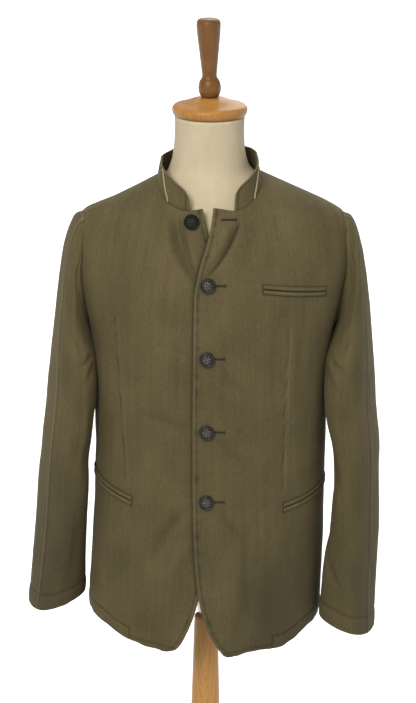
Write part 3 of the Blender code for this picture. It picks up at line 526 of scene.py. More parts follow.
class Sleeve:
    """Smooth sleeve surface from the armhole to the cuff."""

    def __init__(self, side):
        self.side = side
        table = LEFT_SLEEVE_RINGS if side > 0 else RIGHT_SLEEVE_RINGS
        self.rings = make_curves(table)
        self.top = max(row[0] for row in table)
        self.low = min(row[0] for row in table)

    def smooth_point(self, degrees, share):
        """Point at a turn round the sleeve and a share of its length."""
        if share >= SLEEVE_CAP_SHARE:
            part = (share - SLEEVE_CAP_SHARE) / (1.0 - SLEEVE_CAP_SHARE)
            height = self.top + (self.low - self.top) * part
            return sleeve_ring_point(self.rings, self.side, degrees, height)
        start = armhole_point(self.side, degrees)
        end = sleeve_ring_point(self.rings, self.side, degrees, self.top)
        below = sleeve_ring_point(self.rings, self.side, degrees, self.top - 0.01)
        upper = (1.0 + math.cos(math.radians(degrees))) / 2.0
        span = (end - start).length
        leave = Vector((self.side * SLEEVE_CAP_REACH[self.side] * upper, 0.0, 0.0))
        leave.z = -span * (1.0 - 0.75 * upper)
        arrive = (below - end).normalized() * span * 1.05
        t = share / SLEEVE_CAP_SHARE
        return hermite(start, leave, end, arrive, t)

    def point(self, degrees, share):
        """Outer point with its folds, and the outward direction."""
        turn = 3.0
        step = 0.008
        low = max(0.0, share - step)
        high = min(1.0, share + step)
        along = self.smooth_point((degrees + turn) % 360.0, share)
        along = along - self.smooth_point((degrees - turn) % 360.0, share)
        down = self.smooth_point(degrees % 360.0, high) - self.smooth_point(degrees % 360.0, low)
        out = (along.cross(down) * self.side).normalized()
        place = self.smooth_point(degrees % 360.0, share)
        return place + out * sleeve_fold(self.side, degrees, share), out


def collar_base(side, degrees):
    """Point of the collar's lower edge, just above the neck line."""
    point = shell_point(side, *neck_spot(degrees))
    return point + Vector((0.0, 0.0, COLLAR_RISE))


def collar_point(side, degrees, share):
    """Outer point of the collar. Share runs from its lower edge to its top."""
    base = collar_base(side, degrees)
    near_end = max(0.0, (degrees - COLLAR_END_ANGLE + COLLAR_ROUNDING) / COLLAR_ROUNDING)
    height = COLLAR_HEIGHTS[side](degrees) * (1.0 - 0.28 * near_end ** 2)
    angle = math.radians(degrees)
    away = Vector((side * math.cos(angle), -math.sin(angle) * 0.55, 0.0))
    rise = Vector((0.0, 0.0, height * share))
    return base + rise + away * COLLAR_LEAN(degrees) * share ** 1.4


def collar_seam(share):
    """Angle of the piped seam, which slants back as it rises."""
    return COLLAR_SEAM_ANGLE - COLLAR_SEAM_SLANT * share


def collar_normal(side, degrees, share):
    """Outward direction of the collar, taken from its plain run clear of the rounded end."""
    turn = min(degrees, COLLAR_END_ANGLE - COLLAR_ROUNDING - 2.0)
    along = collar_point(side, turn + 1.5, share) - collar_point(side, turn - 1.5, share)
    up = collar_point(side, turn, share + 0.05) - collar_point(side, turn, share - 0.05)
    out = (up.cross(along) * side).normalized()
    if degrees > turn:
        spin = Matrix.Rotation(math.radians(-(degrees - turn) * 0.6 * side), 3, "Z")
        out = spin @ out
    return out


# Cut lines between the panels
NECK_SPLIT = 0.50
ARM_SPLIT = 0.64

# Grain of the cloth meshes
FRONT_STEP = 0.0024
BACK_STEP = 0.0035
SLEEVE_STEP = 0.0034
EDGE_STEPS = [0.0, 0.0007, 0.0016, 0.0028, 0.0042, 0.0058, 0.0076]
PANEL_SIZE = (0.275, 0.715)
BODY_TURN_RADIUS = 0.16
COLLAR_TURN_RADIUS = 0.08
SLEEVE_SIZE = (0.180, 0.690)
SEAM_TUCK = 0.0045
SEAM_SINK = 0.0040
SEAM_LIFT = 0.0004
SEAM_REACH = 0.034

# Stitched lines: distance from the edge, groove depth, groove half width, swell between the edge and its
# line, and the painted shade in the groove
EDGE_STITCH = 0.0065
HEM_STITCH = 0.0210
CUFF_STITCH = 0.0290
COLLAR_STITCH = 0.0045
GROOVE_DEPTH = 0.00080
GROOVE_HALF = 0.0014
EDGE_SWELL = 0.0010
GROOVE_SHADE = 0.55

# Painted shade in fold valleys and paler rubbed ridges, for each metre that a fold rises, and the lowest
# and highest value
FOLD_SHADE = 48.0
FOLD_SHADE_ENDS = (-0.36, 0.12)

# Stitches: length, gap, half width, half height, height above the cloth
STITCH_LENGTH = 0.0024
STITCH_GAP = 0.0008
STITCH_HALF = 0.00038
STITCH_RISE = 0.00026
STITCH_LIFT = 0.0001

# Finer folds of the body: panel, start across and height, end across and height, bow, half width,
# depth
CREASES = [
    ("front_right", -0.058, 1.309, -0.022, 1.212, 0.007, 0.0056, -0.0072),
    ("front_right", -0.041, 1.300, -0.014, 1.205, 0.006, 0.0050, -0.0062),
    ("front_right", -0.075, 1.315, -0.062, 1.205, 0.004, 0.0100, -0.0016),
    ("front_right", -0.148, 1.285, -0.140, 1.170, -0.004, 0.0120, -0.0021),
    ("front_right", -0.166, 1.262, -0.160, 1.150, -0.003, 0.0080, -0.0021),
    ("front_right", -0.026, 1.088, -0.090, 1.110, 0.004, 0.0080, -0.0012),
    ("front_right", -0.030, 0.966, -0.105, 0.990, 0.006, 0.0085, -0.0023),
    ("front_right", -0.030, 0.842, -0.092, 0.748, 0.006, 0.0085, -0.0039),
    ("front_right", -0.024, 0.790, -0.070, 0.716, 0.004, 0.0100, 0.0024),
    ("front_right", -0.118, 0.812, -0.128, 0.700, 0.006, 0.0140, -0.0018),
    ("front_right", -0.090, 0.700, -0.105, 0.635, 0.003, 0.0120, -0.0018),
    ("front_right", -0.150, 0.980, -0.158, 0.900, 0.003, 0.0100, -0.0018),
    ("front_left", 0.048, 1.302, -0.004, 1.215, -0.006, 0.0042, -0.0045),
    ("front_left", 0.030, 1.292, 0.004, 1.246, -0.006, 0.0070, 0.0018),
    ("front_left", 0.066, 1.300, 0.060, 1.190, 0.005, 0.0130, -0.0023),
    ("front_left", 0.090, 1.296, 0.082, 1.215, 0.004, 0.0120, 0.0015),
    ("front_left", 0.120, 1.170, 0.112, 1.040, 0.006, 0.0120, -0.0024),
    ("front_left", 0.138, 1.160, 0.136, 1.000, 0.004, 0.0110, 0.0018),
    ("front_left", 0.152, 1.150, 0.148, 0.990, 0.004, 0.0090, -0.0021),
    ("front_left", 0.018, 1.080, 0.066, 1.030, 0.006, 0.0080, -0.0025),
    ("front_left", 0.012, 1.050, 0.036, 0.990, 0.004, 0.0110, -0.0014),
    ("front_left", 0.018, 0.962, 0.066, 0.915, 0.006, 0.0080, -0.0027),
    ("front_left", 0.018, 0.848, 0.062, 0.790, 0.006, 0.0085, -0.0036),
    ("front_left", 0.066, 0.800, 0.070, 0.668, 0.005, 0.0070, -0.0030),
    ("front_left", 0.090, 0.820, 0.088, 0.690, 0.004, 0.0100, 0.0019),
    ("front_left", 0.136, 0.830, 0.142, 0.700, 0.004, 0.0100, -0.0021),
    ("front_left", 0.104, 0.720, 0.098, 0.645, 0.003, 0.0100, -0.0018),
    ("back_left", 0.028, 1.235, 0.082, 1.160, 0.008, 0.0130, -0.0027),
    ("back_left", 0.140, 1.160, 0.118, 1.020, 0.006, 0.0110, -0.0024),
    ("back_left", 0.160, 0.960, 0.090, 0.925, 0.005, 0.0100, -0.0027),
    ("back_left", 0.150, 0.925, 0.060, 0.905, 0.004, 0.0090, -0.0021),
    ("back_left", 0.120, 0.840, 0.126, 0.690, 0.006, 0.0130, -0.0023),
    ("back_left", 0.022, 0.800, 0.030, 0.655, 0.004, 0.0120, 0.0023),
    ("back_right", -0.034, 1.230, -0.090, 1.150, -0.008, 0.0120, -0.0027),
    ("back_right", -0.146, 1.165, -0.122, 1.010, -0.006, 0.0120, -0.0024),
    ("back_right", -0.158, 0.950, -0.084, 0.918, -0.005, 0.0090, -0.0027),
    ("back_right", -0.146, 0.915, -0.066, 0.900, -0.004, 0.0100, -0.0019),
    ("back_right", -0.126, 0.850, -0.134, 0.700, -0.006, 0.0120, -0.0023),
    ("back_right", -0.026, 0.790, -0.032, 0.660, -0.004, 0.0120, 0.0023),
]

# Darts: panel, top across and height, low across and height
DARTS = [
    ("front_right", -0.148, 1.165, -0.128, 0.872),
    ("front_left", 0.126, 1.150, 0.119, 0.862),
    ("back_right", -0.092, 1.060, -0.086, 0.800),
    ("back_left", 0.092, 1.060, 0.086, 0.800),
]
DART_HALF = 0.0018
DART_DEPTH = 0.0011
DART_HOLLOW_HALF = 0.012
DART_HOLLOW = 0.0006

# Finer sleeve folds: side, start turn and share, end turn and share, bow, half width, depth
SLEEVE_CREASES = [
    (1, 128.0, 0.32, 84.0, 0.41, 0.010, 0.0080, -0.0034),
    (1, 136.0, 0.38, 98.0, 0.45, 0.008, 0.0070, -0.0028),
    (1, 130.0, 0.56, 95.0, 0.70, 0.006, 0.0090, -0.0029),
    (1, 154.0, 0.775, 88.0, 0.895, 0.006, 0.0060, -0.0084),
    (1, 126.0, 0.645, 116.0, 0.74, 0.004, 0.0066, -0.0040),
    (1, 60.0, 0.45, 50.0, 0.75, 0.006, 0.0120, -0.0017),
    (1, 30.0, 0.03, 40.0, 0.10, 0.003, 0.0060, -0.0026),
    (1, 52.0, 0.03, 66.0, 0.11, 0.003, 0.0060, -0.0029),
    (1, 76.0, 0.03, 88.0, 0.09, 0.003, 0.0055, -0.0026),
    (1, 230.0, 0.42, 280.0, 0.52, 0.008, 0.0090, -0.0038),
    (1, 222.0, 0.50, 270.0, 0.58, 0.008, 0.0080, -0.0032),
    (1, 215.0, 0.58, 255.0, 0.66, 0.006, 0.0080, -0.0026),
    (1, 300.0, 0.10, 310.0, 0.30, 0.006, 0.0120, -0.0020),
    (-1, 126.0, 0.31, 88.0, 0.40, 0.010, 0.0080, -0.0032),
    (-1, 132.0, 0.36, 100.0, 0.44, 0.008, 0.0070, -0.0026),
    (-1, 120.0, 0.45, 108.0, 0.70, 0.008, 0.0120, -0.0023),
    (-1, 70.0, 0.50, 62.0, 0.86, 0.006, 0.0130, -0.0017),
    (-1, 96.0, 0.78, 88.0, 0.92, 0.004, 0.0090, -0.0017),
    (-1, 34.0, 0.03, 44.0, 0.10, 0.003, 0.0060, -0.0023),
    (-1, 58.0, 0.03, 70.0, 0.12, 0.003, 0.0060, -0.0026),
    (-1, 232.0, 0.40, 284.0, 0.50, 0.008, 0.0090, -0.0038),
    (-1, 224.0, 0.48, 268.0, 0.57, 0.008, 0.0080, -0.0032),
    (-1, 218.0, 0.57, 250.0, 0.64, 0.006, 0.0080, -0.0026),
    (-1, 302.0, 0.12, 308.0, 0.32, 0.006, 0.0120, -0.0020),
]
SLEEVE_TURN_RADIUS = 0.052
SLEEVE_LENGTH = 0.690
INNER_SWELL = {1: 0.0054, -1: 0.0052}
ARMPIT_SWELL = 0.0040
SLEEVE_SEEDS = {1: 31.5, -1: 43.5}
HEAD_GATHER = {1: 1.0, -1: 0.6}
HEAD_SEAM_SHADE = {1: 0.55, -1: 0.22}
LOW_SLEEVE_SHADE = {1: 0.16, -1: 0.34}


def edge_shares(length, step, extra=()):
    """Shares from zero to one, close together near both ends, with the extra shares among them."""
    inner = EDGE_STEPS[-1]
    count = max(4, round((length - 2.0 * inner) / step))
    spots = list(EDGE_STEPS)
    spots += [inner + (length - 2.0 * inner) * i / count for i in range(1, count)]
    spots += [length - spot for spot in reversed(EDGE_STEPS)]
    shares = [spot / length for spot in spots]
    for share in extra:
        nearest = min(range(1, len(shares) - 1), key=lambda i: abs(shares[i] - share))
        shares[nearest] = share
    return shares


def crease_place(row, across, height):
    """Share of the way along a bowed crease, and distance off it."""
    along, off, length = fold_place(row, across, height)
    t = along / length
    return t, off - row[4] * 4.0 * t * (1.0 - t)


def crease_depth(rows, across, height):
    """Sum of soft troughs and ridges at a point, each steeper on one side than on the other."""
    total = 0.0
    for row in rows:
        t, off = crease_place(row, across, height)
        width, depth = row[5:]
        if t < -0.2 or t > 1.2 or abs(off) > 6.0 * width:
            continue
        ends = window(-0.2, 0.3, 0.55, 1.2, t)
        share = off / (width if off < 0.0 else width * 1.8)
        total += depth * ends * (1.0 - 0.7 * share * share) * math.exp(-share * share)
    return total


def stitched_edge(distance, at):
    """Swell between an edge and its stitched line, and the groove that the stitches pull."""
    swell = 0.0
    if 0.0 < distance < at:
        swell = EDGE_SWELL * math.sin(math.pi * distance / at)
    return swell - GROOVE_DEPTH * bell(distance - at, GROOVE_HALF)


def groove_shade(distance, at):
    """Painted shade that darkens a stitched groove, as a negative value."""
    return -GROOVE_SHADE * bell(distance - at, GROOVE_HALF)


def ripple(across, height, spread, seed):
    """Soft uneven swell from smooth noise, between minus one and one."""
    return noise.noise(Vector((across / spread, height / spread, seed)))


# Seeds of the fine ripples. Both fronts share one for their broad swell, so the lap rises together
FRONT_SEED = 1.5
PANEL_SEEDS = {"front_left": 1.5, "front_right": 7.5, "back_left": 13.5, "back_right": 19.5}

# Creases that shape each panel. Each front also follows the other's, so the lapped fronts stay clear
PANEL_CREASES = {name: [row[1:] for row in CREASES if row[0] == name] for name in PANEL_SEEDS}
LEFT_CREASES = PANEL_CREASES["front_left"]
RIGHT_CREASES = PANEL_CREASES["front_right"]
PANEL_CREASES["front_left"] = LEFT_CREASES + RIGHT_CREASES
PANEL_CREASES["front_right"] = RIGHT_CREASES + LEFT_CREASES
FLAP_CREASE = LEFT_CREASES[0]
PANEL_DARTS = {name: [row[1:] for row in DARTS if row[0] == name] for name in PANEL_SEEDS}


def edge_distance(side, across, height):
    """Distance of a front point from its front edge."""
    edge = FRONT_EDGES[side]
    slope = (edge(height + 0.002) - edge(height - 0.002)) / 0.004
    return side * (across - edge(height)) / math.sqrt(1.0 + slope * slope)


# Rubbed paler lines and lines of painted shade beside sewn edges: distance from the edge, half width,
# rubbing above zero and painted shade below zero
WEAR_AND_SHADE_LINES = {
    "dart": [(0.0034, 0.0026, 0.30), (0.0, 0.0012, -0.55)],
    "front_edge": [(0.0016, 0.0016, 0.22)],
    "hem": [(0.0, 0.0022, 0.30)],
    "armhole": [(0.006, 0.004, 0.30)],
    "side_seam": [(0.0, 0.003, 0.45)],
    "shoulder": [(0.0, 0.0035, 0.55)],
    "over_arm": [(0.0016, 0.0022, 0.85), (0.0065, 0.0011, -0.45)],
    "sleeve_head": [(0.007, 0.005, 0.34)],
    "collar": [(0.0, 0.0020, 0.42)],
    "pocket_lip": [(0.30, 0.16, 0.25), (1.0, 0.12, -0.5)],
}

# Gathers along sewn edges: reach from the edge, then height, spread and row of each ripple
GATHERS = {
    "front_edge": (0.011, [(0.0011, 0.0085, 0.0), (0.0006, 0.030, 3.0)]),
    "hem": (0.010, [(0.0022, 0.020, 0.0), (0.0012, 0.009, 5.0)]),
    "armhole": (0.018, [(0.0028, 0.024, 0.0), (0.0015, 0.011, 4.0)]),
    "side_seam": (0.010, [(0.0007, 0.020, 0.0)]),
    "cuff": (0.014, [(0.0016, 0.018, 0.0)]),
    "sleeve_head": (0.016, [(0.0032, 0.013, 0.0), (0.0016, 0.0065, 7.0)]),
}


def line_wear_and_shade(name, off):
    """Rubbing and painted shade of the lines beside a sewn edge, at a distance from it."""
    return sum(wear_and_shade * bell(off - place, half) for place, half, wear_and_shade in WEAR_AND_SHADE_LINES[name])


def gather(name, at, off, seed):
    """Rise of the gathers at a place along a sewn edge and a distance from it."""
    reach, ripples = GATHERS[name]
    pull = sum(height * ripple(at, row, spread, seed) for height, spread, row in ripples)
    return pull * math.exp(-max(0.0, off) / reach)


def dart_depth(rows, across, height):
    """Narrow sewn valley of the darts, with paler rubbing beside its seam and painted shade along it."""
    depth = 0.0
    wear_and_shade = 0.0
    for top_x, top_z, low_x, low_z in rows:
        share = (top_z - height) / (top_z - low_z)
        if share < 0.0 or share > 1.0:
            continue
        off = across - (top_x + (low_x - top_x) * share)
        ends = window(0.0, 0.08, 0.95, 1.0, share)
        depth -= ends * (DART_DEPTH * bell(off, DART_HALF) + DART_HOLLOW * bell(off, DART_HOLLOW_HALF))
        wear_and_shade += ends * line_wear_and_shade("dart", off)
    return depth, wear_and_shade


# Where the front facing ends at the hem, in degrees round the body
FACING_ANGLE = {1: -48.5, -1: -45.0}

POCKETS = {
    "chest_pocket": ("front_left", 1, CHEST_POCKET),
    "hip_pocket_left": ("front_left", 1, LEFT_HIP_POCKET),
    "hip_pocket_right": ("front_right", -1, RIGHT_HIP_POCKET),
}
POCKET_REACH = JET_SLIT / 2.0 + JET_WIDTH + 0.0006


def pocket_spot(side, pocket, share):
    """Angle and height at a share of the way along a pocket."""
    (across, low), (far_angle, high) = pocket
    near_angle = front_angle(side, side * across, low)
    return near_angle + (far_angle - near_angle) * share, low + (high - low) * share


# Ends of each pocket: panel, near angle, near height, far angle, far height
POCKET_SPANS = [
    (panel, *pocket_spot(side, pocket, 0.0), *pocket[1]) for panel, side, pocket in POCKETS.values()
]


def pocket_shade(panel, degrees, height):
    """Painted shade where a pocket's lips are sewn in, as a negative value."""
    shade = 0.0
    for owner, near_angle, low, far_angle, high in POCKET_SPANS:
        if owner != panel:
            continue
        share = (degrees - near_angle) / (far_angle - near_angle)
        if share < -0.01 or share > 1.01:
            continue
        off = abs(height - (low + (high - low) * share)) - POCKET_REACH
        shade -= 0.45 * bell(off, 0.0016)
    return shade


def flap_shade(across, height):
    """Painted shade at the bottom of the sharp fold where the open corner turns out."""
    t, off = crease_place(FLAP_CREASE, across, height)
    if t < 0.0 or t > 1.1:
        return 0.0
    ends = window(0.0, 0.12, 0.7, 1.1, t)
    return -0.95 * ends * bell(off, 0.0021)


def lap_shade(across, height):
    """Painted shadow on the right front, a dark line just beside the edge that lies over it."""
    beside = FRONT_EDGES[1](height) - across
    closed = smooth_step(0.690, 0.720, height)
    return -0.85 * closed * math.exp(-(max(0.0, beside - 0.0006) / 0.0026) ** 1.2)


def panel_relief(panel, side, degrees, across, height):
    """Rise of the finer folds and sewn lines at a point of a panel, and its rubbing and painted shade."""
    seed = PANEL_SEEDS[panel]
    rise = crease_depth(PANEL_CREASES[panel], across, height)
    fold = limit(rise * FOLD_SHADE, *FOLD_SHADE_ENDS)
    around = math.radians(degrees) * BODY_TURN_RADIUS
    is_front = panel.startswith("front")
    grain_place = across if is_front else around
    grain_seed = FRONT_SEED if is_front else seed
    rise += 0.0016 * ripple(grain_place, height * 0.40, 0.055, grain_seed)
    rise += 0.0007 * ripple(grain_place, height * 0.60, 0.021, grain_seed + 3.0)
    dart, wear_and_shade = dart_depth(PANEL_DARTS[panel], across, height)
    rise += dart
    wear_and_shade += fold
    hem_distance = height - HEM_HEIGHTS[side](degrees)
    hem_share = 1.0
    if is_front:
        distance = edge_distance(side, across, height)
        rise += stitched_edge(distance, EDGE_STITCH)
        nip = ripple(height, 0.0, 0.0085, seed)
        rise += gather("front_edge", height, distance, seed)
        # Painted shade of the puckers along the edge stitching, with a little paler rubbing between them
        wear_and_shade += 0.75 * min(0.2, nip) * bell(distance - EDGE_STITCH, 0.0030)
        wear_and_shade += line_wear_and_shade("front_edge", distance)
        wear_and_shade += groove_shade(distance, EDGE_STITCH)
        hem_share = smooth_step(FACING_ANGLE[side] - 0.6, FACING_ANGLE[side] + 0.6, degrees)
        rise += (1.0 - hem_share) * stitched_edge(hem_distance, EDGE_STITCH)
        wear_and_shade += (1.0 - hem_share) * groove_shade(hem_distance, EDGE_STITCH)
        if hem_distance < HEM_STITCH:
            tack = bell(degrees - FACING_ANGLE[side], 0.5)
            rise -= GROOVE_DEPTH * tack
            wear_and_shade -= GROOVE_SHADE * tack
    rise += hem_share * stitched_edge(hem_distance, HEM_STITCH)
    wear_and_shade += 1.3 * hem_share * groove_shade(hem_distance, HEM_STITCH)
    wear_and_shade += pocket_shade(panel, degrees, height)
    if panel == "front_left":
        wear_and_shade += flap_shade(across, height)
        # Painted shade: the lower part of the left front is darkened away from its edge
        wear_and_shade -= 0.40 * smooth_step(0.02, 0.10, across) * (1.0 - smooth_step(0.66, 0.86, height))
    if panel == "front_right":
        wear_and_shade += lap_shade(across, height)
        # Painted shadow of the sleeve on the body's side below the armhole
        under_sleeve = window(0.920, 0.960, 1.110, 1.150, height)
        wear_and_shade -= 0.40 * under_sleeve * smooth_step(-24.0, -8.0, degrees)
    rise += gather("hem", around, hem_distance, seed)
    wear_and_shade += line_wear_and_shade("hem", hem_distance)
    return rise, limit(wear_and_shade)


def panel_surface(panel, side, degrees, height, lift=0.0):
    """Dressed outer point of a panel, its outward direction, and its rubbing and painted shade."""
    point, out = panel_point(panel, side, degrees, height)
    rise, wear_and_shade = panel_relief(panel, side, degrees, point.x, height)
    return point + out * (rise + lift), out, wear_and_shade


class Panel:
    """Cut lines of one front or back panel."""

    def __init__(self, name, side, is_front):
        self.name = name
        self.side = side
        self.is_front = is_front
        self.scoop = -ARMHOLE_FRONT_SCOOP[side] if is_front else ARMHOLE_BACK_SCOOP
        self.neck_end = -90.0
        self.edge_low = EDGE_LOWS[side]
        if is_front:
            place = side * (FRONT_EDGES[side](NECK_EDGE_HEIGHT) - BODY_LEAN(NECK_EDGE_HEIGHT))
            self.neck_end = neck_turn(place)
        self.neck_angle, self.edge_high = neck_spot(self.neck_end)
        self.slip = 0.0
        if is_front:
            end = front_angle(side, FRONT_EDGES[side](self.edge_high), self.edge_high)
            self.slip = self.neck_angle - end
        self.start = self.left(0.0)[0]

    def left(self, v):
        """Front edge, or the middle of the back, from the hem to the neck."""
        if self.is_front:
            height = self.edge_low + (self.edge_high - self.edge_low) * v
            across = FRONT_EDGES[self.side](height)
            return front_angle(self.side, across, height) + self.slip * v ** 8, height
        low = HEM_HEIGHTS[self.side](90.0)
        return 90.0, low + (self.edge_high - low) * v

    def right(self, v):
        """Side seam and then the armhole, from the hem to the shoulder tip."""
        if v <= ARM_SPLIT:
            low = HEM_HEIGHTS[self.side](SIDE_SEAM_ANGLE)
            return SIDE_SEAM_ANGLE, low + (ARMPIT_HEIGHT - low) * v / ARM_SPLIT
        return armhole((v - ARM_SPLIT) / (1.0 - ARM_SPLIT), self.scoop)

    def bottom(self, u):
        """Hem from the front edge or the back middle to the side seam."""
        degrees = self.start + (SIDE_SEAM_ANGLE - self.start) * u
        height = HEM_HEIGHTS[self.side](degrees)
        if self.is_front:
            height += (self.edge_low - HEM_HEIGHTS[self.side](self.start)) * (1.0 - u) ** 4
        around = math.radians(degrees) * BODY_TURN_RADIUS
        wave = 0.0024 * ripple(around, 2.0, 0.021, PANEL_SEEDS[self.name])
        fade = window(0.0, 0.2, 0.9, 1.0, u)
        return degrees, height + wave * fade

    def top(self, u):
        """Neck line and then the shoulder seam."""
        if u <= NECK_SPLIT:
            return neck_spot(self.neck_end * (1.0 - u / NECK_SPLIT))
        return shoulder_seam((u - NECK_SPLIT) / (1.0 - NECK_SPLIT))

    def pucker(self, u, v):
        """Gathers along the armhole, and the ridge of the shoulder seam, with their wear."""
        rise = 0.0
        wear_and_shade = 0.0
        from_side = (1.0 - u) * PANEL_SIZE[0]
        if v > ARM_SPLIT:
            along = v - ARM_SPLIT
            fade = smooth_step(ARM_SPLIT, ARM_SPLIT + 0.05, v)
            seed = PANEL_SEEDS[self.name]
            lean = along + from_side * 0.5
            held = smooth_step(0.0, 0.009, from_side)
            rise += fade * held * gather("armhole", lean, from_side, seed)
            wear_and_shade += fade * line_wear_and_shade("armhole", from_side)
        else:
            along = v * PANEL_SIZE[1]
            seed = PANEL_SEEDS[self.name] + 2.0
            rise += gather("side_seam", along, from_side, seed)
            wear_and_shade += line_wear_and_shade("side_seam", from_side)
        if u > NECK_SPLIT:
            from_top = (1.0 - v) * PANEL_SIZE[1]
            rise += 0.0004 * bell(from_top - 0.003, 0.002)
            wear_and_shade += line_wear_and_shade("shoulder", from_top)
        return rise, min(1.0, wear_and_shade)

    def grid(self):
        """Rows of spots, each a point, its outward direction, its place on the cloth, and its rubbing and
        painted shade.
        """
        step = FRONT_STEP if self.is_front else BACK_STEP
        columns = edge_shares(PANEL_SIZE[0], step, [NECK_SPLIT])
        levels = edge_shares(PANEL_SIZE[1], step, [ARM_SPLIT])
        lefts = [self.left(v) for v in levels]
        rights = [self.right(v) for v in levels]
        bottoms = [self.bottom(u) for u in columns]
        tops = [self.top(u) for u in columns]
        rows = []
        for i, v in enumerate(levels):
            row = []
            for j, u in enumerate(columns):
                place = []
                for k in range(2):
                    ruled = (1.0 - u) * lefts[i][k] + u * rights[i][k]
                    lofted = (1.0 - v) * bottoms[j][k] + v * tops[j][k]
                    low = (1.0 - u) * bottoms[0][k] + u * bottoms[-1][k]
                    high = (1.0 - u) * tops[0][k] + u * tops[-1][k]
                    place.append(ruled + lofted - (1.0 - v) * low - v * high)
                degrees, height = place
                point, out, wear_and_shade = panel_surface(self.name, self.side, degrees, height)
                rise, more = self.pucker(u, v)
                cloth = (math.radians(degrees) * BODY_TURN_RADIUS * self.side, height)
                if self.is_front:
                    cloth = (point.x + self.side * 0.5 * (point.y + 0.14), height)
                row.append((point + out * rise, out, cloth, limit(wear_and_shade + more)))
            rows.append(row)
        return rows


def sleeve_relief(side, degrees, share):
    """Rise of the finer sleeve folds and sewn lines at a point, and its rubbing and painted shade."""
    around = math.radians(degrees) * SLEEVE_TURN_RADIUS
    along = share * SLEEVE_LENGTH
    seed = SLEEVE_SEEDS[side]
    rise = crease_depth(SLEEVE_ROWS[side], around, along)
    fold = limit(rise * FOLD_SHADE, *FOLD_SHADE_ENDS)
    rise += 0.0010 * ripple(around, along * 0.6, 0.050, seed)
    rise += 0.0004 * ripple(around, along * 0.8, 0.018, seed + 2.0)
    inner = max(0.0, -math.cos(math.radians(degrees))) ** 1.5
    start = smooth_step(0.01, 0.08, share)
    rise += INNER_SWELL[side] * inner * start * (1.0 - smooth_step(0.44, 0.54, share))
    rise += ARMPIT_SWELL * inner * start * (1.0 - smooth_step(0.34, 0.48, share))
    from_cuff = SLEEVE_LENGTH - along
    rise += stitched_edge(from_cuff, CUFF_STITCH)
    rise += gather("cuff", around, from_cuff, seed)
    wear_and_shade = line_wear_and_shade("hem", from_cuff) + fold
    wear_and_shade -= LOW_SLEEVE_SHADE[side] * smooth_step(0.50, 0.82, share)
    seam = (degrees - OVER_ARM_SEAM[side] + 180.0) % 360.0 - 180.0
    from_seam = math.radians(seam) * SLEEVE_TURN_RADIUS
    rise += 0.0007 * bell(from_seam - 0.0030, 0.0022)
    wear_and_shade += line_wear_and_shade("over_arm", from_seam)
    wear_and_shade += 1.2 * groove_shade(from_cuff, CUFF_STITCH)
    # Painted shadow on the sleeve's inner side, where it lies against the body below the armhole
    armpit_shadow = window(128.0, 162.0, 198.0, 232.0, degrees)
    wear_and_shade -= 0.62 * armpit_shadow * start * (1.0 - smooth_step(0.52, 0.66, share))
    lean = around + along * 0.35
    strength = HEAD_GATHER[side]
    # Patches of painted light and shade along the gathered sleeve head
    wear_and_shade += strength * 0.5 * ripple(lean, 7.0, 0.0075, seed) * math.exp(-along / 0.012)
    rise += strength * smooth_step(0.0, 0.006, along) * gather("sleeve_head", lean, along, seed)
    wear_and_shade += line_wear_and_shade("sleeve_head", along)
    wear_and_shade -= HEAD_SEAM_SHADE[side] * bell(along - 0.0008, 0.0016)
    return rise, limit(wear_and_shade)


def sleeve_rows(side):
    """Sleeve folds of one side, in metres round and along the sleeve."""
    rows = []
    for row in SLEEVE_CREASES:
        if row[0] != side:
            continue
        start = (math.radians(row[1]) * SLEEVE_TURN_RADIUS, row[2] * SLEEVE_LENGTH)
        end = (math.radians(row[3]) * SLEEVE_TURN_RADIUS, row[4] * SLEEVE_LENGTH)
        rows.append((*start, *end, *row[5:]))
    return rows


SLEEVE_ROWS = {1: sleeve_rows(1), -1: sleeve_rows(-1)}


def sleeve_surface(sleeve, degrees, share, lift=0.0):
    """Dressed outer point of a sleeve, its outward direction, and its rubbing and painted shade."""
    point, out = sleeve.point(degrees, share)
    rise, wear_and_shade = sleeve_relief(sleeve.side, degrees, share)
    return point + out * (rise + lift), out, wear_and_shade


# Sewn armhole edges of each side, as points and outward directions, filled as the panels are made
ARMHOLE_EDGES = {1: [], -1: []}


def armhole_move(sleeve, degrees):
    """Step from a sleeve's start to the armhole edge it is sewn to, and the way out of the body there."""
    place = sleeve_surface(sleeve, degrees, 0.0)[0]
    edge, edge_out = min(ARMHOLE_EDGES[sleeve.side], key=lambda spot: (spot[0] - place).length_squared)
    before = sleeve_surface(sleeve, degrees - 2.0, 0.0)[0]
    along = (sleeve_surface(sleeve, degrees + 2.0, 0.0)[0] - before).normalized()
    move = edge + edge_out * SEAM_LIFT - place
    return move - along * move.dot(along), edge_out


def sleeve_grid(sleeve, start, end):
    """Rows of spots of one sleeve half, the first tucked under the armhole edge."""
    columns = [start + (end - start) * turn for turn in edge_shares(SLEEVE_SIZE[0], SLEEVE_STEP)]
    levels = edge_shares(SLEEVE_SIZE[1], SLEEVE_STEP, [SLEEVE_CAP_SHARE])
    moves = [armhole_move(sleeve, degrees) for degrees in columns]
    rows = []
    for share in levels:
        held = (1.0 - smooth_step(0.0, SEAM_REACH, share * SLEEVE_LENGTH)) ** 1.3
        row = []
        for degrees, (move, _) in zip(columns, moves):
            point, out, wear_and_shade = sleeve_surface(sleeve, degrees, share)
            cloth = (math.radians(degrees) * SLEEVE_TURN_RADIUS, -share * SLEEVE_LENGTH)
            row.append((point + move * held, out, cloth, wear_and_shade))
        rows.append(row)
    allowance = []
    for (point, out, cloth, _), (after, _, _, _), (_, edge_out) in zip(rows[0], rows[1], moves):
        back = (point - after).normalized()
        tucked = point + back * SEAM_TUCK - edge_out * SEAM_SINK
        # The tucked allowance is given painted shade
        allowance.append((tucked, out, (cloth[0], cloth[1] + SEAM_TUCK), -0.3))
    return [allowance] + rows


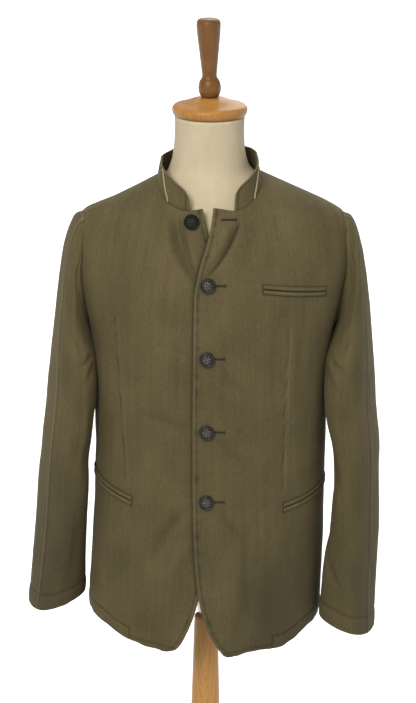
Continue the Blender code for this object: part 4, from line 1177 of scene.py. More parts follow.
def collar_surface(side, degrees, share, lift=0.0):
    """Dressed outer point of the collar, its outward direction, and its rubbing and painted shade."""
    point = collar_point(side, degrees, share)
    out = collar_normal(side, degrees, min(0.95, max(0.05, share)))
    around = side * math.radians(degrees) * COLLAR_TURN_RADIUS
    top = collar_point(side, degrees, 1.0)
    from_top = (top - point).length
    from_end = COLLAR_TURN_RADIUS * math.radians(COLLAR_END_ANGLE - degrees)
    from_edge = min(from_top, from_end)
    rise = stitched_edge(from_edge, COLLAR_STITCH)
    rise += 0.0007 * ripple(around, share * 0.03, 0.020, 61.5)
    rise += 0.0004 * ripple(around, share * 0.04, 0.009, 64.5)
    wear_and_shade = line_wear_and_shade("collar", from_edge)
    wear_and_shade += groove_shade(from_edge, COLLAR_STITCH)
    foot = bell(share, 0.07)
    # Painted shade at the collar's foot, which is also tucked down and out
    wear_and_shade -= 0.55 * foot
    point = point - Vector((0.0, 0.0, 0.0026 * foot))
    return point + out * (rise + lift + 0.0008 * foot), out, limit(wear_and_shade)


def collar_grid(stations):
    """Rows of spots of one collar piece, from its stations at a share of its height."""
    rows = []
    for share in edge_shares(0.040, 0.0020):
        row = []
        for side, degrees in stations(share):
            point, out, wear_and_shade = collar_surface(side, degrees, share)
            cloth = (side * math.radians(degrees) * COLLAR_TURN_RADIUS, share * 0.04)
            row.append((point, out, cloth, wear_and_shade))
        rows.append(row)
    return rows


def add_object(name, data):
    """Object of the scene around its data."""
    thing = bpy.data.objects.new(name, data)
    bpy.context.scene.collection.objects.link(thing)
    return thing


def new_object(name, points, faces, slot, *materials):
    """Piece of the object from points and faces, riding on the one body."""
    mesh = bpy.data.meshes.new(name)
    mesh.from_pydata([tuple(point) for point in points], [], faces)
    mesh.polygons.foreach_set("use_smooth", [True] * len(mesh.polygons))
    for material in materials:
        mesh.materials.append(material)
    thing = add_object(name, mesh)
    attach(thing, "root")
    return thing


def face_outward(mesh):
    """Turn the faces of a closed mesh outward."""
    shape = bmesh.new()
    shape.from_mesh(mesh)
    bmesh.ops.recalc_face_normals(shape, faces=shape.faces)
    shape.to_mesh(mesh)
    shape.free()


def set_cloth(mesh, places):
    """Place of each point on its cloth, for the weave."""
    corners = np.zeros(len(mesh.loops), dtype=np.int32)
    mesh.loops.foreach_get("vertex_index", corners)
    layer = mesh.uv_layers.new(name="cloth")
    layer.data.foreach_set("uv", np.array(places, dtype=np.float32)[corners].ravel())


def set_wear_and_shade(mesh, values):
    """Rubbing of each point, and painted shade where it is below zero."""
    store = mesh.attributes.new("wear_and_shade", "FLOAT", "POINT")
    store.data.foreach_set("value", values)


def turns(steps):
    """Angles of the points of a ring."""
    return [2.0 * math.pi * k / steps for k in range(steps)]


def turned_ring(radius, height, steps):
    """Level ring of points about the upright axis."""
    return [Vector((radius * math.cos(angle), radius * math.sin(angle), height)) for angle in turns(steps)]


def ring_faces(base, rings, steps):
    """Faces between rings of points that follow each other."""
    faces = []
    for i in range(rings - 1):
        for k in range(steps):
            a = base + i * steps + k
            b = base + i * steps + (k + 1) % steps
            faces.append((a, b, b + steps, a + steps))
    return faces


def closed_rings(first, rings, last=None):
    """Points and faces of rings closed by a first point, and by a last point or one flat face."""
    steps = len(rings[0])
    points = [first] + [point for ring in rings for point in ring]
    faces = [(0, 1 + (k + 1) % steps, 1 + k) for k in range(steps)]
    faces += ring_faces(1, len(rings), steps)
    end = len(points) - steps
    if last is None:
        faces.append(tuple(end + k for k in range(steps)))
    else:
        faces += [(end + k, end + (k + 1) % steps, len(points)) for k in range(steps)]
        points.append(last)
    return points, faces


# Pieces by the solid they stand for, and what is sewn to each sheet
pieces = {}
SEWN = {}


def cloth_shell(node, grid, wall=CLOTH_WALL):
    """Closed thin shell with rounded edges from a grid of spots."""
    rows = len(grid)
    columns = len(grid[0])
    points = []
    cloth = []
    wear_and_shade = []
    for layer in (0.0, 1.0):
        for i, row in enumerate(grid):
            # worn holds each spot's rubbing and painted shade
            for j, (point, out, place, worn) in enumerate(row):
                on_rim = i in (0, rows - 1) or j in (0, columns - 1)
                sink = 0.36 + 0.28 * layer if on_rim else layer
                points.append(point - out * wall * sink)
                cloth.append(place)
                wear_and_shade.append(worn)
    base = rows * columns
    faces = []
    for i in range(rows - 1):
        for j in range(columns - 1):
            a = i * columns + j
            faces.append((a, a + 1, a + columns + 1, a + columns))
    outer_count = len(faces)
    faces += [tuple(base + k for k in reversed(face)) for face in faces]
    rim = list(range(columns))
    rim += [i * columns + columns - 1 for i in range(1, rows)]
    rim += [(rows - 1) * columns + j for j in range(columns - 2, -1, -1)]
    rim += [i * columns for i in range(rows - 2, 0, -1)]
    for first, second in zip(rim, rim[1:] + rim[:1]):
        faces.append((second, first, base + first, base + second))
    thing = new_object("cloth_" + node, points, faces, "olive_twill", TWILL, TWILL_BACK)
    kinds = [0] * len(faces)
    kinds[outer_count:2 * outer_count] = [1] * outer_count
    thing.data.polygons.foreach_set("material_index", kinds)
    face_outward(thing.data)
    set_cloth(thing.data, cloth)
    set_wear_and_shade(thing.data, wear_and_shade)
    pieces[node] = thing
    return thing


class Bits:
    """Many small closed things gathered into one mesh."""

    def __init__(self):
        self.points = []
        self.faces = []

    def capsule(self, start, end, out, half_width, half_height, bow):
        """One stitch from start to end, a little raised in its middle."""
        along = (end - start).normalized()
        across = along.cross(out).normalized()
        base = len(self.points)
        sections = [(0.0, 0.35), (0.18, 0.9), (0.5, 1.0), (0.82, 0.9), (1.0, 0.35)]
        ring = 6
        for share, swell in sections:
            centre = start.lerp(end, share) + out * bow * 4.0 * share * (1.0 - share)
            for angle in turns(ring):
                spread = across * math.cos(angle) * half_width * swell
                self.points.append(centre + spread + out * math.sin(angle) * half_height * swell)
        self.faces += ring_faces(base, len(sections), ring)
        self.faces.append(tuple(base + k for k in reversed(range(ring))))
        last = base + (len(sections) - 1) * ring
        self.faces.append(tuple(last + k for k in range(ring)))

    def run(self, path, length=STITCH_LENGTH, gap=STITCH_GAP, half_width=STITCH_HALF):
        """Stitches along a path of points and outward directions."""
        travelled = [0.0]
        for before, after in zip(path, path[1:]):
            travelled.append(travelled[-1] + (after[0] - before[0]).length)
        at = gap / 2.0
        while at + length < travelled[-1]:
            start, out = along_path(path, travelled, at)
            end, _ = along_path(path, travelled, at + length)
            self.capsule(start, end, out, half_width, STITCH_RISE, STITCH_RISE * 0.5)
            at += length + gap

    def bar(self, panel, side, spots, lift, half_width, half_height, bow):
        """One stitch on a panel between two spots of angle and height."""
        (start, out), (end, _) = panel_path(panel, side, spots, lift)
        self.capsule(start, end, out, half_width, half_height, bow)

    def finish(self, name, node, material):
        """Make the gathered things one piece, sewn to a sheet."""
        thing = new_object(name, self.points, self.faces, "olive_twill", material)
        face_outward(thing.data)
        SEWN.setdefault(node, []).append(thing)


def along_path(path, travelled, at):
    """Point and outward direction at a distance along a path."""
    i = 0
    while i < len(path) - 2 and travelled[i + 1] < at:
        i += 1
    span = max(1e-9, travelled[i + 1] - travelled[i])
    share = (at - travelled[i]) / span
    out = path[i][1].lerp(path[i + 1][1], share).normalized()
    return path[i][0].lerp(path[i + 1][0], share), out


def set_inputs(tree, node, inputs):
    """Set a node's inputs to values, or link them to sockets."""
    for key, value in inputs.items():
        if isinstance(value, bpy.types.NodeSocket):
            tree.links.new(value, node.inputs[key])
        else:
            node.inputs[key].default_value = value


def add_node(tree, kind, inputs=None, **settings):
    """Shader node with its settings and inputs."""
    node = tree.nodes.new(kind)
    for key, value in settings.items():
        setattr(node, key, value)
    set_inputs(tree, node, inputs or {})
    return node


def add_math(tree, operation, first, second=0.5, clamp=False):
    """Output of a maths node."""
    inputs = {0: first, 1: second}
    return add_node(tree, "ShaderNodeMath", inputs, operation=operation, use_clamp=clamp).outputs[0]


def add_sum(tree, *parts):
    """Sum of sockets, each times its weight."""
    total = None
    for socket, weight in parts:
        term = add_math(tree, "MULTIPLY", socket, weight)
        total = term if total is None else add_math(tree, "ADD", total, term)
    return total


def add_noise(tree, vector, scale, detail, rough=0.5):
    """Output of a noise texture on a scaled vector."""
    scaled = add_node(tree, "ShaderNodeVectorMath", {0: vector, 1: scale}, operation="MULTIPLY")
    inputs = {"Vector": scaled.outputs[0], "Scale": 1.0, "Detail": detail, "Roughness": rough}
    return add_node(tree, "ShaderNodeTexNoise", inputs).outputs["Fac"]


def add_mix(tree, share, first, second):
    """Mix of two colours, each a socket or red, green and blue."""
    colours = []
    for colour in (first, second):
        colours.append(colour if isinstance(colour, bpy.types.NodeSocket) else (*colour, 1.0))
    inputs = {0: share, 6: colours[0], 7: colours[1]}
    return add_node(tree, "ShaderNodeMix", inputs, data_type="RGBA").outputs[2]


def add_range(tree, value, low, high, new_low=0.0, new_high=1.0):
    """Value stretched from one range to another, kept within it."""
    inputs = {0: value, 1: low, 2: high, 3: new_low, 4: new_high}
    return add_node(tree, "ShaderNodeMapRange", inputs).outputs[0]


def add_wear_and_shade(tree):
    """Rubbing and painted shade stored at the points of a piece."""
    return add_node(tree, "ShaderNodeAttribute", attribute_name="wear_and_shade").outputs["Fac"]


def new_material(name, rough, metal=0.0, cloth=False):
    """Material with its tree, its main shader, and the place of each point on the cloth or the object."""
    material = bpy.data.materials.new(name)
    material.use_nodes = True
    tree = material.node_tree
    shader = tree.nodes["Principled BSDF"]
    set_inputs(tree, shader, {"Roughness": rough, "Metallic": metal})
    if cloth:
        place = add_node(tree, "ShaderNodeUVMap", uv_map="cloth").outputs[0]
    else:
        place = add_node(tree, "ShaderNodeTexCoord").outputs["Object"]
    return material, tree, shader, place


def add_bump(tree, height, strength, distance):
    """Fine relief of a finish."""
    inputs = {"Height": height, "Strength": strength, "Distance": distance}
    return add_node(tree, "ShaderNodeBump", inputs).outputs[0]


def twill_material(name, dark, light, worn, shaded):
    """Garment-dyed cotton twill with diagonal wales, slubs, blotches and paler worn seams, and painted
    shade where the stored value is below zero.
    """
    material, tree, shader, place = new_material(name, 0.82, cloth=True)
    streaks = add_noise(tree, place, (420.0, 9.0, 1.0), 3.0, 0.6)
    bands = add_noise(tree, place, (95.0, 3.5, 1.0), 2.0)
    blotch = add_noise(tree, place, (16.0, 11.0, 1.0), 3.0)
    fuzz = add_noise(tree, place, (2600.0, 1500.0, 1.0), 2.0)
    lines = add_node(tree, "ShaderNodeVectorMath", {0: place, 1: (5200.0, 3900.0, 0.0)},
                     operation="DOT_PRODUCT").outputs["Value"]
    wale = add_range(tree, add_math(tree, "SINE", lines), -1.0, 1.0)
    slubs = add_noise(tree, place, (330.0, 130.0, 1.0), 3.0, 0.6)
    tone = add_sum(tree, (streaks, 0.20), (bands, 0.10), (blotch, 0.30), (slubs, 0.28), (fuzz, 0.06),
                   (wale, 0.06))
    colour = add_mix(tree, add_range(tree, tone, 0.32, 0.70), dark, light)
    wear_and_shade = add_wear_and_shade(tree)
    rubbed = add_math(tree, "MULTIPLY", wear_and_shade, add_range(tree, streaks, 0.3, 0.7, 0.35, 0.95), clamp=True)
    colour = add_mix(tree, rubbed, colour, worn)
    # Painted shade: below zero the colour is mixed toward the shaded colour
    shade = add_math(tree, "MULTIPLY", wear_and_shade, -0.85, clamp=True)
    relief = add_math(tree, "ADD", add_math(tree, "MULTIPLY", wale, 0.6), fuzz)
    set_inputs(tree, shader, {
        "Base Color": add_mix(tree, shade, colour, shaded),
        "Roughness": add_range(tree, fuzz, 0.3, 0.7, 0.78, 0.90),
        "Sheen Weight": 0.10,
        "Sheen Roughness": 0.45,
        "Sheen Tint": (0.75, 0.68, 0.50, 1.0),
        "Specular IOR Level": 0.25,
        "Normal": add_bump(tree, relief, 0.35, 0.00025),
    })
    return material


def thread_material(name, dark, light):
    """Twisted sewing thread."""
    material, tree, shader, place = new_material(name, 0.7)
    fuzz = add_noise(tree, place, (900.0, 900.0, 900.0), 2.0)
    colour = add_mix(tree, fuzz, dark, light)
    set_inputs(tree, shader, {"Base Color": colour, "Normal": add_bump(tree, fuzz, 0.4, 0.0002)})
    return material


def metal_material(name, bright, dark, rough):
    """Aged silver with dark patina in the low places, and paler rubbed high ones."""
    material, tree, shader, place = new_material(name, rough, 1.0)
    grain = add_noise(tree, place, (700.0, 700.0, 700.0), 4.0, 0.6)
    tone = add_math(tree, "ADD", add_math(tree, "MULTIPLY", add_wear_and_shade(tree), 0.85),
                    add_range(tree, grain, 0.3, 0.7, -0.15, 0.25), clamp=True)
    set_inputs(tree, shader, {
        "Base Color": add_mix(tree, tone, dark, bright),
        "Roughness": add_range(tree, grain, 0.3, 0.7, rough - 0.08, rough + 0.16),
        "Normal": add_bump(tree, grain, 0.2, 0.0002),
    })
    return material


def steel_material(name):
    """Drawn grey steel tube."""
    material, tree, shader, place = new_material(name, 0.42, 1.0)
    drawn = add_noise(tree, place, (900.0, 900.0, 12.0), 3.0)
    dull = add_noise(tree, place, (40.0, 40.0, 25.0), 3.0)
    tone = add_sum(tree, (drawn, 0.5), (dull, 0.5))
    colour = add_mix(tree, tone, (0.30, 0.30, 0.29), (0.55, 0.54, 0.52))
    set_inputs(tree, shader, {"Base Color": colour, "Normal": add_bump(tree, drawn, 0.15, 0.0002)})
    return material


def cover_material(name):
    """Cream cotton cover of the form, with a fine plain weave and faint yellowing."""
    material, tree, shader, place = new_material(name, 0.85, cloth=True)
    warp = add_noise(tree, place, (1500.0, 60.0, 1.0), 2.0)
    weft = add_noise(tree, place, (60.0, 1500.0, 1.0), 2.0)
    blotch = add_noise(tree, place, (22.0, 16.0, 1.0), 3.0)
    weave = add_sum(tree, (warp, 0.5), (weft, 0.5))
    tone = add_range(tree, add_sum(tree, (weave, 0.6), (blotch, 0.4)), 0.35, 0.65)
    set_inputs(tree, shader, {
        "Base Color": add_mix(tree, tone, (0.560, 0.468, 0.300), (0.690, 0.592, 0.410)),
        "Sheen Weight": 0.10,
        "Normal": add_bump(tree, weave, 0.35, 0.0003),
    })
    return material


def wood_material(name, dark, light, fleck_tone):
    """Turned beech under a honey varnish, with grain along the axis."""
    material, tree, shader, place = new_material(name, 0.38)
    warp = add_noise(tree, place, (14.0, 14.0, 2.2), 2.0)
    bent = add_node(tree, "ShaderNodeVectorMath", {0: place, 1: warp}, operation="ADD").outputs[0]
    grain = add_noise(tree, bent, (190.0, 190.0, 5.0), 5.0, 0.62)
    rings = add_noise(tree, bent, (34.0, 34.0, 1.3), 2.0)
    flecks = add_noise(tree, place, (620.0, 620.0, 55.0), 2.0)
    tone = add_range(tree, add_sum(tree, (grain, 0.5), (rings, 0.5)), 0.34, 0.66)
    fleck = add_range(tree, flecks, 0.60, 0.72, 0.0, 0.45)
    set_inputs(tree, shader, {
        "Base Color": add_mix(tree, fleck, add_mix(tree, tone, dark, light), fleck_tone),
        "Roughness": add_range(tree, grain, 0.3, 0.7, 0.32, 0.46),
        "Specular IOR Level": 0.30,
        "Coat Weight": 0.08,
        "Coat Roughness": 0.22,
        "Normal": add_bump(tree, grain, 0.12, 0.0004),
    })
    return material


def slit_shade_material(name):
    """Painted shade for the dark inside of a slit between two edges of cloth."""
    material, tree, shader, place = new_material(name, 0.9)
    fuzz = add_noise(tree, place, (800.0, 800.0, 800.0), 2.0)
    colour = add_mix(tree, fuzz, (0.010, 0.008, 0.004), (0.022, 0.018, 0.009))
    set_inputs(tree, shader, {"Base Color": colour})
    return material


SHADED_TWILL = (0.022, 0.018, 0.009)
TWILL = twill_material("olive_twill_face", (0.066, 0.0515, 0.0210), (0.164, 0.129, 0.0560),
                       (0.235, 0.195, 0.108), SHADED_TWILL)
TWILL_BACK = twill_material("olive_twill_reverse", (0.066, 0.053, 0.026), (0.105, 0.085, 0.042),
                            (0.130, 0.105, 0.055), SHADED_TWILL)
THREAD = thread_material("olive_thread", (0.062, 0.050, 0.023), (0.125, 0.101, 0.048))
DARK_THREAD_AND_SHADE = thread_material("dark_thread_and_shade", (0.024, 0.020, 0.011), (0.055, 0.046, 0.024))
TAN_CORD = thread_material("tan_piping", (0.300, 0.225, 0.110), (0.480, 0.385, 0.215))
SILVER = metal_material("aged_silver", (0.105, 0.099, 0.090), (0.006, 0.0055, 0.005), 0.33)
# A darker copy of the aged silver, as painted shade on the open button
SHADED_SILVER = metal_material("shaded_silver", (0.042, 0.039, 0.035), (0.006, 0.006, 0.005), 0.42)
STEEL = steel_material("grey_steel_tube")
COVER = cover_material("cream_cotton_cover")
WOOD = wood_material("honey_beech", (0.375, 0.158, 0.030), (0.555, 0.275, 0.064), (0.280, 0.115, 0.024))
# A lighter copy of the honey beech, as painted light on the pole and base in the jacket's shade
PAINTED_LIGHT_WOOD = wood_material("painted_light_beech", (0.520, 0.245, 0.060), (0.770, 0.410, 0.115),
                          (0.380, 0.165, 0.040))
BROWN_WOOD = wood_material("brown_beech", (0.130, 0.050, 0.0080), (0.212, 0.092, 0.0170),
                           (0.092, 0.034, 0.0060))
SLIT_SHADE = slit_shade_material("painted_slit_shade")

# Cloth pieces of the jacket: fronts and backs, then sleeve halves, then the collar
SIDES = {"left": 1, "right": -1}
for half in ("front", "back"):
    for word, side in SIDES.items():
        grid = Panel(half + "_" + word, side, half == "front").grid()
        ARMHOLE_EDGES[side] += [row[-1][:2] for row in grid if row[-1][0].z > ARMPIT_HEIGHT - 0.002]
        cloth_shell(half + "_" + word, grid)

# Sleeve halves: name, sleeve, first turn, last turn
SLEEVE_HALVES = []
for word, side in SIDES.items():
    over = OVER_ARM_SEAM[side]
    sleeve = Sleeve(side)
    SLEEVE_HALVES.append(("sleeve_" + word + "_front", sleeve, over, UNDER_ARM_SEAM))
    SLEEVE_HALVES.append(("sleeve_" + word + "_back", sleeve, UNDER_ARM_SEAM, over + 360.0))
for node, *half in SLEEVE_HALVES:
    cloth_shell(node, sleeve_grid(*half))

FRONT_COLLAR_SHARES = edge_shares(0.050, 0.0016)
BACK_COLLAR_SHARES = edge_shares(0.190, 0.0026)[:-len(EDGE_STEPS)] + [1.0]


def front_collar(side):
    """Stations of one collar front, from its piped seam to its rounded end."""
    def stations(share):
        start = collar_seam(share)
        return [(side, start + (COLLAR_END_ANGLE - start) * part) for part in FRONT_COLLAR_SHARES]
    return stations


def back_collar(share):
    """Stations of the collar back, from one piped seam to the other."""
    start = collar_seam(share)
    run = [start + (-90.0 - start) * part for part in BACK_COLLAR_SHARES]
    return [(1, turn) for turn in run] + [(-1, turn) for turn in reversed(run[:-1])]


for word, side in SIDES.items():
    cloth_shell("collar_" + word, collar_grid(front_collar(side)), COLLAR_WALL)
cloth_shell("collar_back", collar_grid(back_collar), COLLAR_WALL)


def build_piping(node, side):
    """Round tan cord along a piped collar seam, with spun ends and a slight twist on its surface."""
    ring = 12
    count = 61
    twist = 0.9
    path = []
    for share in evenly(0.03, 0.99, count):
        place, out, _ = collar_surface(side, collar_seam(share), share)
        path.append(place + out * PIPING_RADIUS * 0.55)
    points = []
    for i, place in enumerate(path):
        along = (path[min(count - 1, i + 1)] - path[max(0, i - 1)]).normalized()
        if i:
            side_way = (side_way - along * side_way.dot(along)).normalized()
        else:
            side_way = along.orthogonal().normalized()
        other = along.cross(side_way)
        size = PIPING_RADIUS * (0.45 if i in (0, count - 1) else 1.0)
        for angle in turns(ring):
            swell = 1.0 + 0.10 * math.cos(3.0 * angle + twist * i)
            points.append(place + (side_way * math.cos(angle) + other * math.sin(angle)) * size * swell)
    faces = ring_faces(0, count, ring)
    faces.append(tuple(reversed(range(ring))))
    faces.append(tuple((count - 1) * ring + k for k in range(ring)))
    pieces[node] = new_object("cord_" + node, points, faces, "tan_cord", TAN_CORD)
    face_outward(pieces[node].data)


for word, side in SIDES.items():
    build_piping("collar_piping_" + word, side)


# Pocket lips: open mouth between them, wall, length on the cloth, rows up each lip
OPEN_SLIT = 0.0024
JET_WALL = 0.0012
JET_LENGTH = 0.105
JET_ROWS = 15


def jet_grid(panel, side, pocket, upper):
    """Rows of spots of one pocket lip, rolled over a filling."""
    lip = JET_WIDTH - (OPEN_SLIT - JET_SLIT) / 2.0
    shift = (OPEN_SLIT / 2.0) if upper else -(OPEN_SLIT / 2.0 + lip)
    rows = []
    for rise in evenly(0.0, 1.0, JET_ROWS):
        row = []
        swell = 0.25 + 0.75 * math.sin(math.pi * (0.06 + 0.88 * rise)) ** 0.6
        at_slit = rise if upper else 1.0 - rise
        wear_and_shade = line_wear_and_shade("pocket_lip", at_slit)
        for share in edge_shares(JET_LENGTH, 0.0024):
            degrees, height = pocket_spot(side, pocket, share)
            height += shift + lip * rise
            ends = 0.35 + 0.65 * smooth_step(0.0, 0.03, min(share, 1.0 - share))
            uneven = 1.0 + 0.22 * ripple(share, rise * 0.02, 0.12, 71.5 + shift * 900.0)
            lift = JET_LIFT + JET_THICKNESS * swell * ends * uneven
            point, out, _ = panel_surface(panel, side, degrees, height, lift)
            row.append((point, out, (share * JET_LENGTH, height), wear_and_shade))
        rows.append(row)
    return rows


for pocket_name, (panel, side, pocket) in POCKETS.items():
    for level in ("upper", "lower"):
        grid = jet_grid(panel, side, pocket, level == "upper")
        shell = cloth_shell(pocket_name + "_" + level + "_jet", grid, JET_WALL)
        SEWN.setdefault(panel, []).append(shell)


# Stitched lines
def panel_path(panel, side, spots, lift=STITCH_LIFT):
    """Path on a panel through spots of angle and height."""
    return [panel_surface(panel, side, degrees, height, lift)[:2] for degrees, height in spots]


def edge_path(panel, side):
    """Stitched line along a front edge and round its corner to where the facing ends."""
    edge = FRONT_EDGES[side]
    low = EDGE_LOWS[side]
    rim = []
    for share in evenly(0.0, 1.0, 400):
        height = EDGE_STITCH_TOP - (EDGE_STITCH_TOP - low) * (1.0 - (1.0 - share) ** 1.6)
        rim.append((edge(height), height))
    for degrees in evenly(front_angle(side, edge(low), low), FACING_ANGLE[side], 121)[1:]:
        height = max(low, HEM_HEIGHTS[side](degrees))
        rim.append((shell_point(side, degrees, height).x, height))
    spots = []
    for before, here, after in zip(rim, rim[1:], rim[2:]):
        run = (after[0] - before[0], after[1] - before[1])
        size = max(1e-9, math.hypot(*run))
        across = here[0] - side * run[1] / size * EDGE_STITCH
        height = here[1] + side * run[0] / size * EDGE_STITCH
        spots.append((front_angle(side, across, height), height))
    return panel_path(panel, side, spots)


def hem_path(panel, side, first):
    """Stitched line of the turned-up hem, from an angle to the side seam."""
    hem = HEM_HEIGHTS[side]
    spots = [(turn, hem(turn) + HEM_STITCH) for turn in evenly(first, SIDE_SEAM_ANGLE, 200)]
    return panel_path(panel, side, spots)


def tack_path(panel, side):
    """Short upright line where the front facing ends at the hem."""
    degrees = FACING_ANGLE[side]
    low = HEM_HEIGHTS[side](degrees)
    return panel_path(panel, side, [(degrees, low + rise) for rise in evenly(0.002, HEM_STITCH, 12)])


def add_pocket_stitches(bits, panel, side, pocket):
    """Lines above and below a pocket, and a bar across each end."""
    for offset in (-POCKET_REACH, POCKET_REACH):
        spots = [pocket_spot(side, pocket, share) for share in evenly(0.0, 1.0, 60)]
        spots = [(degrees, height + offset) for degrees, height in spots]
        bits.run(panel_path(panel, side, spots, 0.0002), 0.0020, 0.0006, 0.00036)
    for share in (-0.004, 1.004):
        degrees, middle = pocket_spot(side, pocket, share)
        for height in evenly(middle - POCKET_REACH, middle + POCKET_REACH, 22):
            spots = [(degrees - BAR_HALF_TURN, height), (degrees + BAR_HALF_TURN, height)]
            bits.bar(panel, side, spots, 0.0010, 0.00036, 0.00030, 0.0003)


def add_pocket_slit(bits, panel, side, pocket):
    """Dark strip of painted shade along the mouth of a pocket, between its lips."""
    spots = [pocket_spot(side, pocket, share) for share in evenly(0.02, 0.98, 41)]
    path = panel_path(panel, side, spots, JET_LIFT + 0.0002)
    for (start, out), (end, _) in zip(path, path[1:]):
        bits.capsule(start, end, out, OPEN_SLIT * 0.62, 0.0004, 0.0)


def sew_lines(node, *paths):
    """Stitches of a sheet along its paths, in thread of the cloth's colour."""
    bits = Bits()
    for path in paths:
        bits.run(path)
    bits.finish("stitches_" + node, node, THREAD)


# Top of the edge stitching, half turn of the bar at a pocket's end, over-arm stitches from their seam
EDGE_STITCH_TOP = 1.318
BAR_HALF_TURN = 0.382
SEAM_STITCH = 0.0065

for word, side in SIDES.items():
    panel = "front_" + word
    sew_lines(panel, edge_path(panel, side))
    lines = Bits()
    mouths = Bits()
    lines.run(hem_path(panel, side, FACING_ANGLE[side]))
    lines.run(tack_path(panel, side))
    for owner, _, pocket in POCKETS.values():
        if owner == panel:
            add_pocket_stitches(lines, panel, side, pocket)
            add_pocket_slit(mouths, panel, side, pocket)
    # The hem, tack and pocket lines are sewn in dark thread, which also stands in for the painted shade of
    # their grooves
    lines.finish("sewn_lines_" + panel, panel, DARK_THREAD_AND_SHADE)
    mouths.finish("mouths_" + panel, panel, SLIT_SHADE)
for word, side in SIDES.items():
    sew_lines("back_" + word, hem_path("back_" + word, side, 90.0))

for node, sleeve, first_turn, last_turn in SLEEVE_HALVES:
    paths = []
    if node.endswith("front"):
        seam_turn = first_turn + math.degrees(SEAM_STITCH / SLEEVE_TURN_RADIUS)
        spots = [(seam_turn, share) for share in evenly(0.05, 0.995, 160)]
        paths.append([sleeve_surface(sleeve, *spot, STITCH_LIFT)[:2] for spot in spots])
    cuff = 1.0 - CUFF_STITCH / SLEEVE_LENGTH
    spots = [(turn, cuff) for turn in evenly(first_turn + 1.0, last_turn - 1.0, 90)]
    paths.append([sleeve_surface(sleeve, *spot, STITCH_LIFT)[:2] for spot in spots])
    sew_lines(node, *paths)

for word, side in SIDES.items():
    path = []
    for degrees in evenly(collar_seam(0.9) + 1.0, COLLAR_END_ANGLE - 3.2, 70):
        top = (collar_point(side, degrees, 1.0) - collar_base(side, degrees)).length
        share = max(0.05, 1.0 - COLLAR_STITCH / top)
        path.append(collar_surface(side, degrees, share, STITCH_LIFT)[:2])
    sew_lines("collar_" + word, path)

# Buttonholes, from the left front edge inward: start across, length, height
BUTTONHOLES = [(0.0190, 0.0230, 1.3030)]
BUTTONHOLES += [(across + 0.0035, 0.0235, height) for across, height in CLOSED_BUTTONS]
HOLE_HALF = 0.0016
HOLE_RIM = 0.0004
HOLE_BAR_HALF = 0.0026


def add_buttonhole(threads, slits, across, length, height):
    """Dense thread round a straight slit, with a bar across its far end."""
    for x in evenly(across, across + length, 40):
        degrees = front_angle(1, x, height)
        for way in (-1.0, 1.0):
            spots = [(degrees, height + way * HOLE_RIM), (degrees, height + way * HOLE_HALF)]
            threads.bar("front_left", 1, spots, 0.0004, 0.00036, 0.00040, 0.0004)
    for z in evenly(height - HOLE_BAR_HALF, height + HOLE_BAR_HALF, 9):
        degrees = front_angle(1, across + length, z)
        spots = [(degrees - 0.15, z), (degrees + 0.75, z)]
        threads.bar("front_left", 1, spots, 0.0005, 0.00040, 0.00045, 0.0004)
    spots = [(front_angle(1, x, height), height) for x in (across, across + length)]
    slits.bar("front_left", 1, spots, 0.0004, 0.0006, 0.00035, 0.0)


threads = Bits()
slits = Bits()
for hole in BUTTONHOLES:
    add_buttonhole(threads, slits, *hole)
threads.finish("stitches_buttonholes", "front_left", DARK_THREAD_AND_SHADE)
# The buttonhole slits are a dark strip of painted shade
slits.finish("slits_buttonholes", "front_left", SLIT_SHADE)


# Buttons
PETALS = 8
BEADS = 24.0
ROPE_TURNS = 44
BUTTON_RINGS = 44
BUTTON_SPOKES = 96
BUTTON_FACE_RADIUS = 0.0118
BUTTON_SUNK = 0.0004
BUTTON_UNDER = BUTTON_PROFILE[6:-1]
FACE_CURVE = make_curve(BUTTON_PROFILE[:6], 1)


def button_relief(radius, angle):
    """Rise of the rosette, bead ring and rope rim on a button's face."""
    share = radius / BUTTON_RADIUS
    rise = 0.0
    petal = 0.5 + 0.5 * math.cos(PETALS * angle)
    if share < 0.70:
        outer = share + 0.12 * (1.0 - petal)
        length = smooth_step(0.14, 0.22, share) * (1.0 - smooth_step(0.50, 0.64, outer))
        rise += 0.00085 * length * petal ** 0.7
        rise -= 0.00030 * length * bell((angle * PETALS / (2.0 * math.pi)) % 1.0, 0.10)
    rise += 0.00085 * bell(share, 0.13)
    bead = 0.5 + 0.5 * math.cos(BEADS * angle)
    rise += 0.00060 * bead * bell(share - 0.73, 0.045)
    rope = 0.5 + 0.5 * math.cos(ROPE_TURNS * angle + 90.0 * share)
    rise += 0.00045 * rope * bell(share - 0.91, 0.055)
    return rise


def build_button(node, panel, side, across, height, spin, material):
    """Detailed shank button where its solid stands."""
    degrees = front_angle(side, across, height)
    place, out = panel_point(panel, side, degrees, height, BUTTON_LIFT)
    turn = out.to_track_quat("Z", "Y").to_matrix().to_4x4()
    matrix = Matrix.Translation(place) @ turn @ Matrix.Rotation(spin, 4, "Z")
    middle = Vector((0.0, 0.0, FACE_CURVE(0.0) - BUTTON_SUNK + button_relief(0.0, 0.0)))
    rings = []
    wear_and_shade = [0.9]
    for i in range(1, BUTTON_RINGS + 1):
        radius = BUTTON_FACE_RADIUS * i / BUTTON_RINGS
        ring = turned_ring(radius, FACE_CURVE(radius) - BUTTON_SUNK, BUTTON_SPOKES)
        for point, angle in zip(ring, turns(BUTTON_SPOKES)):
            rise = button_relief(radius, angle)
            point.z += rise
            wear_and_shade.append(min(1.0, 0.12 + rise / 0.0007))
        rings.append(ring)
    for radius, level in BUTTON_UNDER:
        rings.append(turned_ring(radius, level, BUTTON_SPOKES))
        wear_and_shade += [0.3] * BUTTON_SPOKES
    points, faces = closed_rings(middle, rings)
    points = [matrix @ point for point in points]
    pieces[node] = new_object("metal_" + node, points, faces, "old_metal", material)
    face_outward(pieces[node].data)
    set_wear_and_shade(pieces[node].data, wear_and_shade)


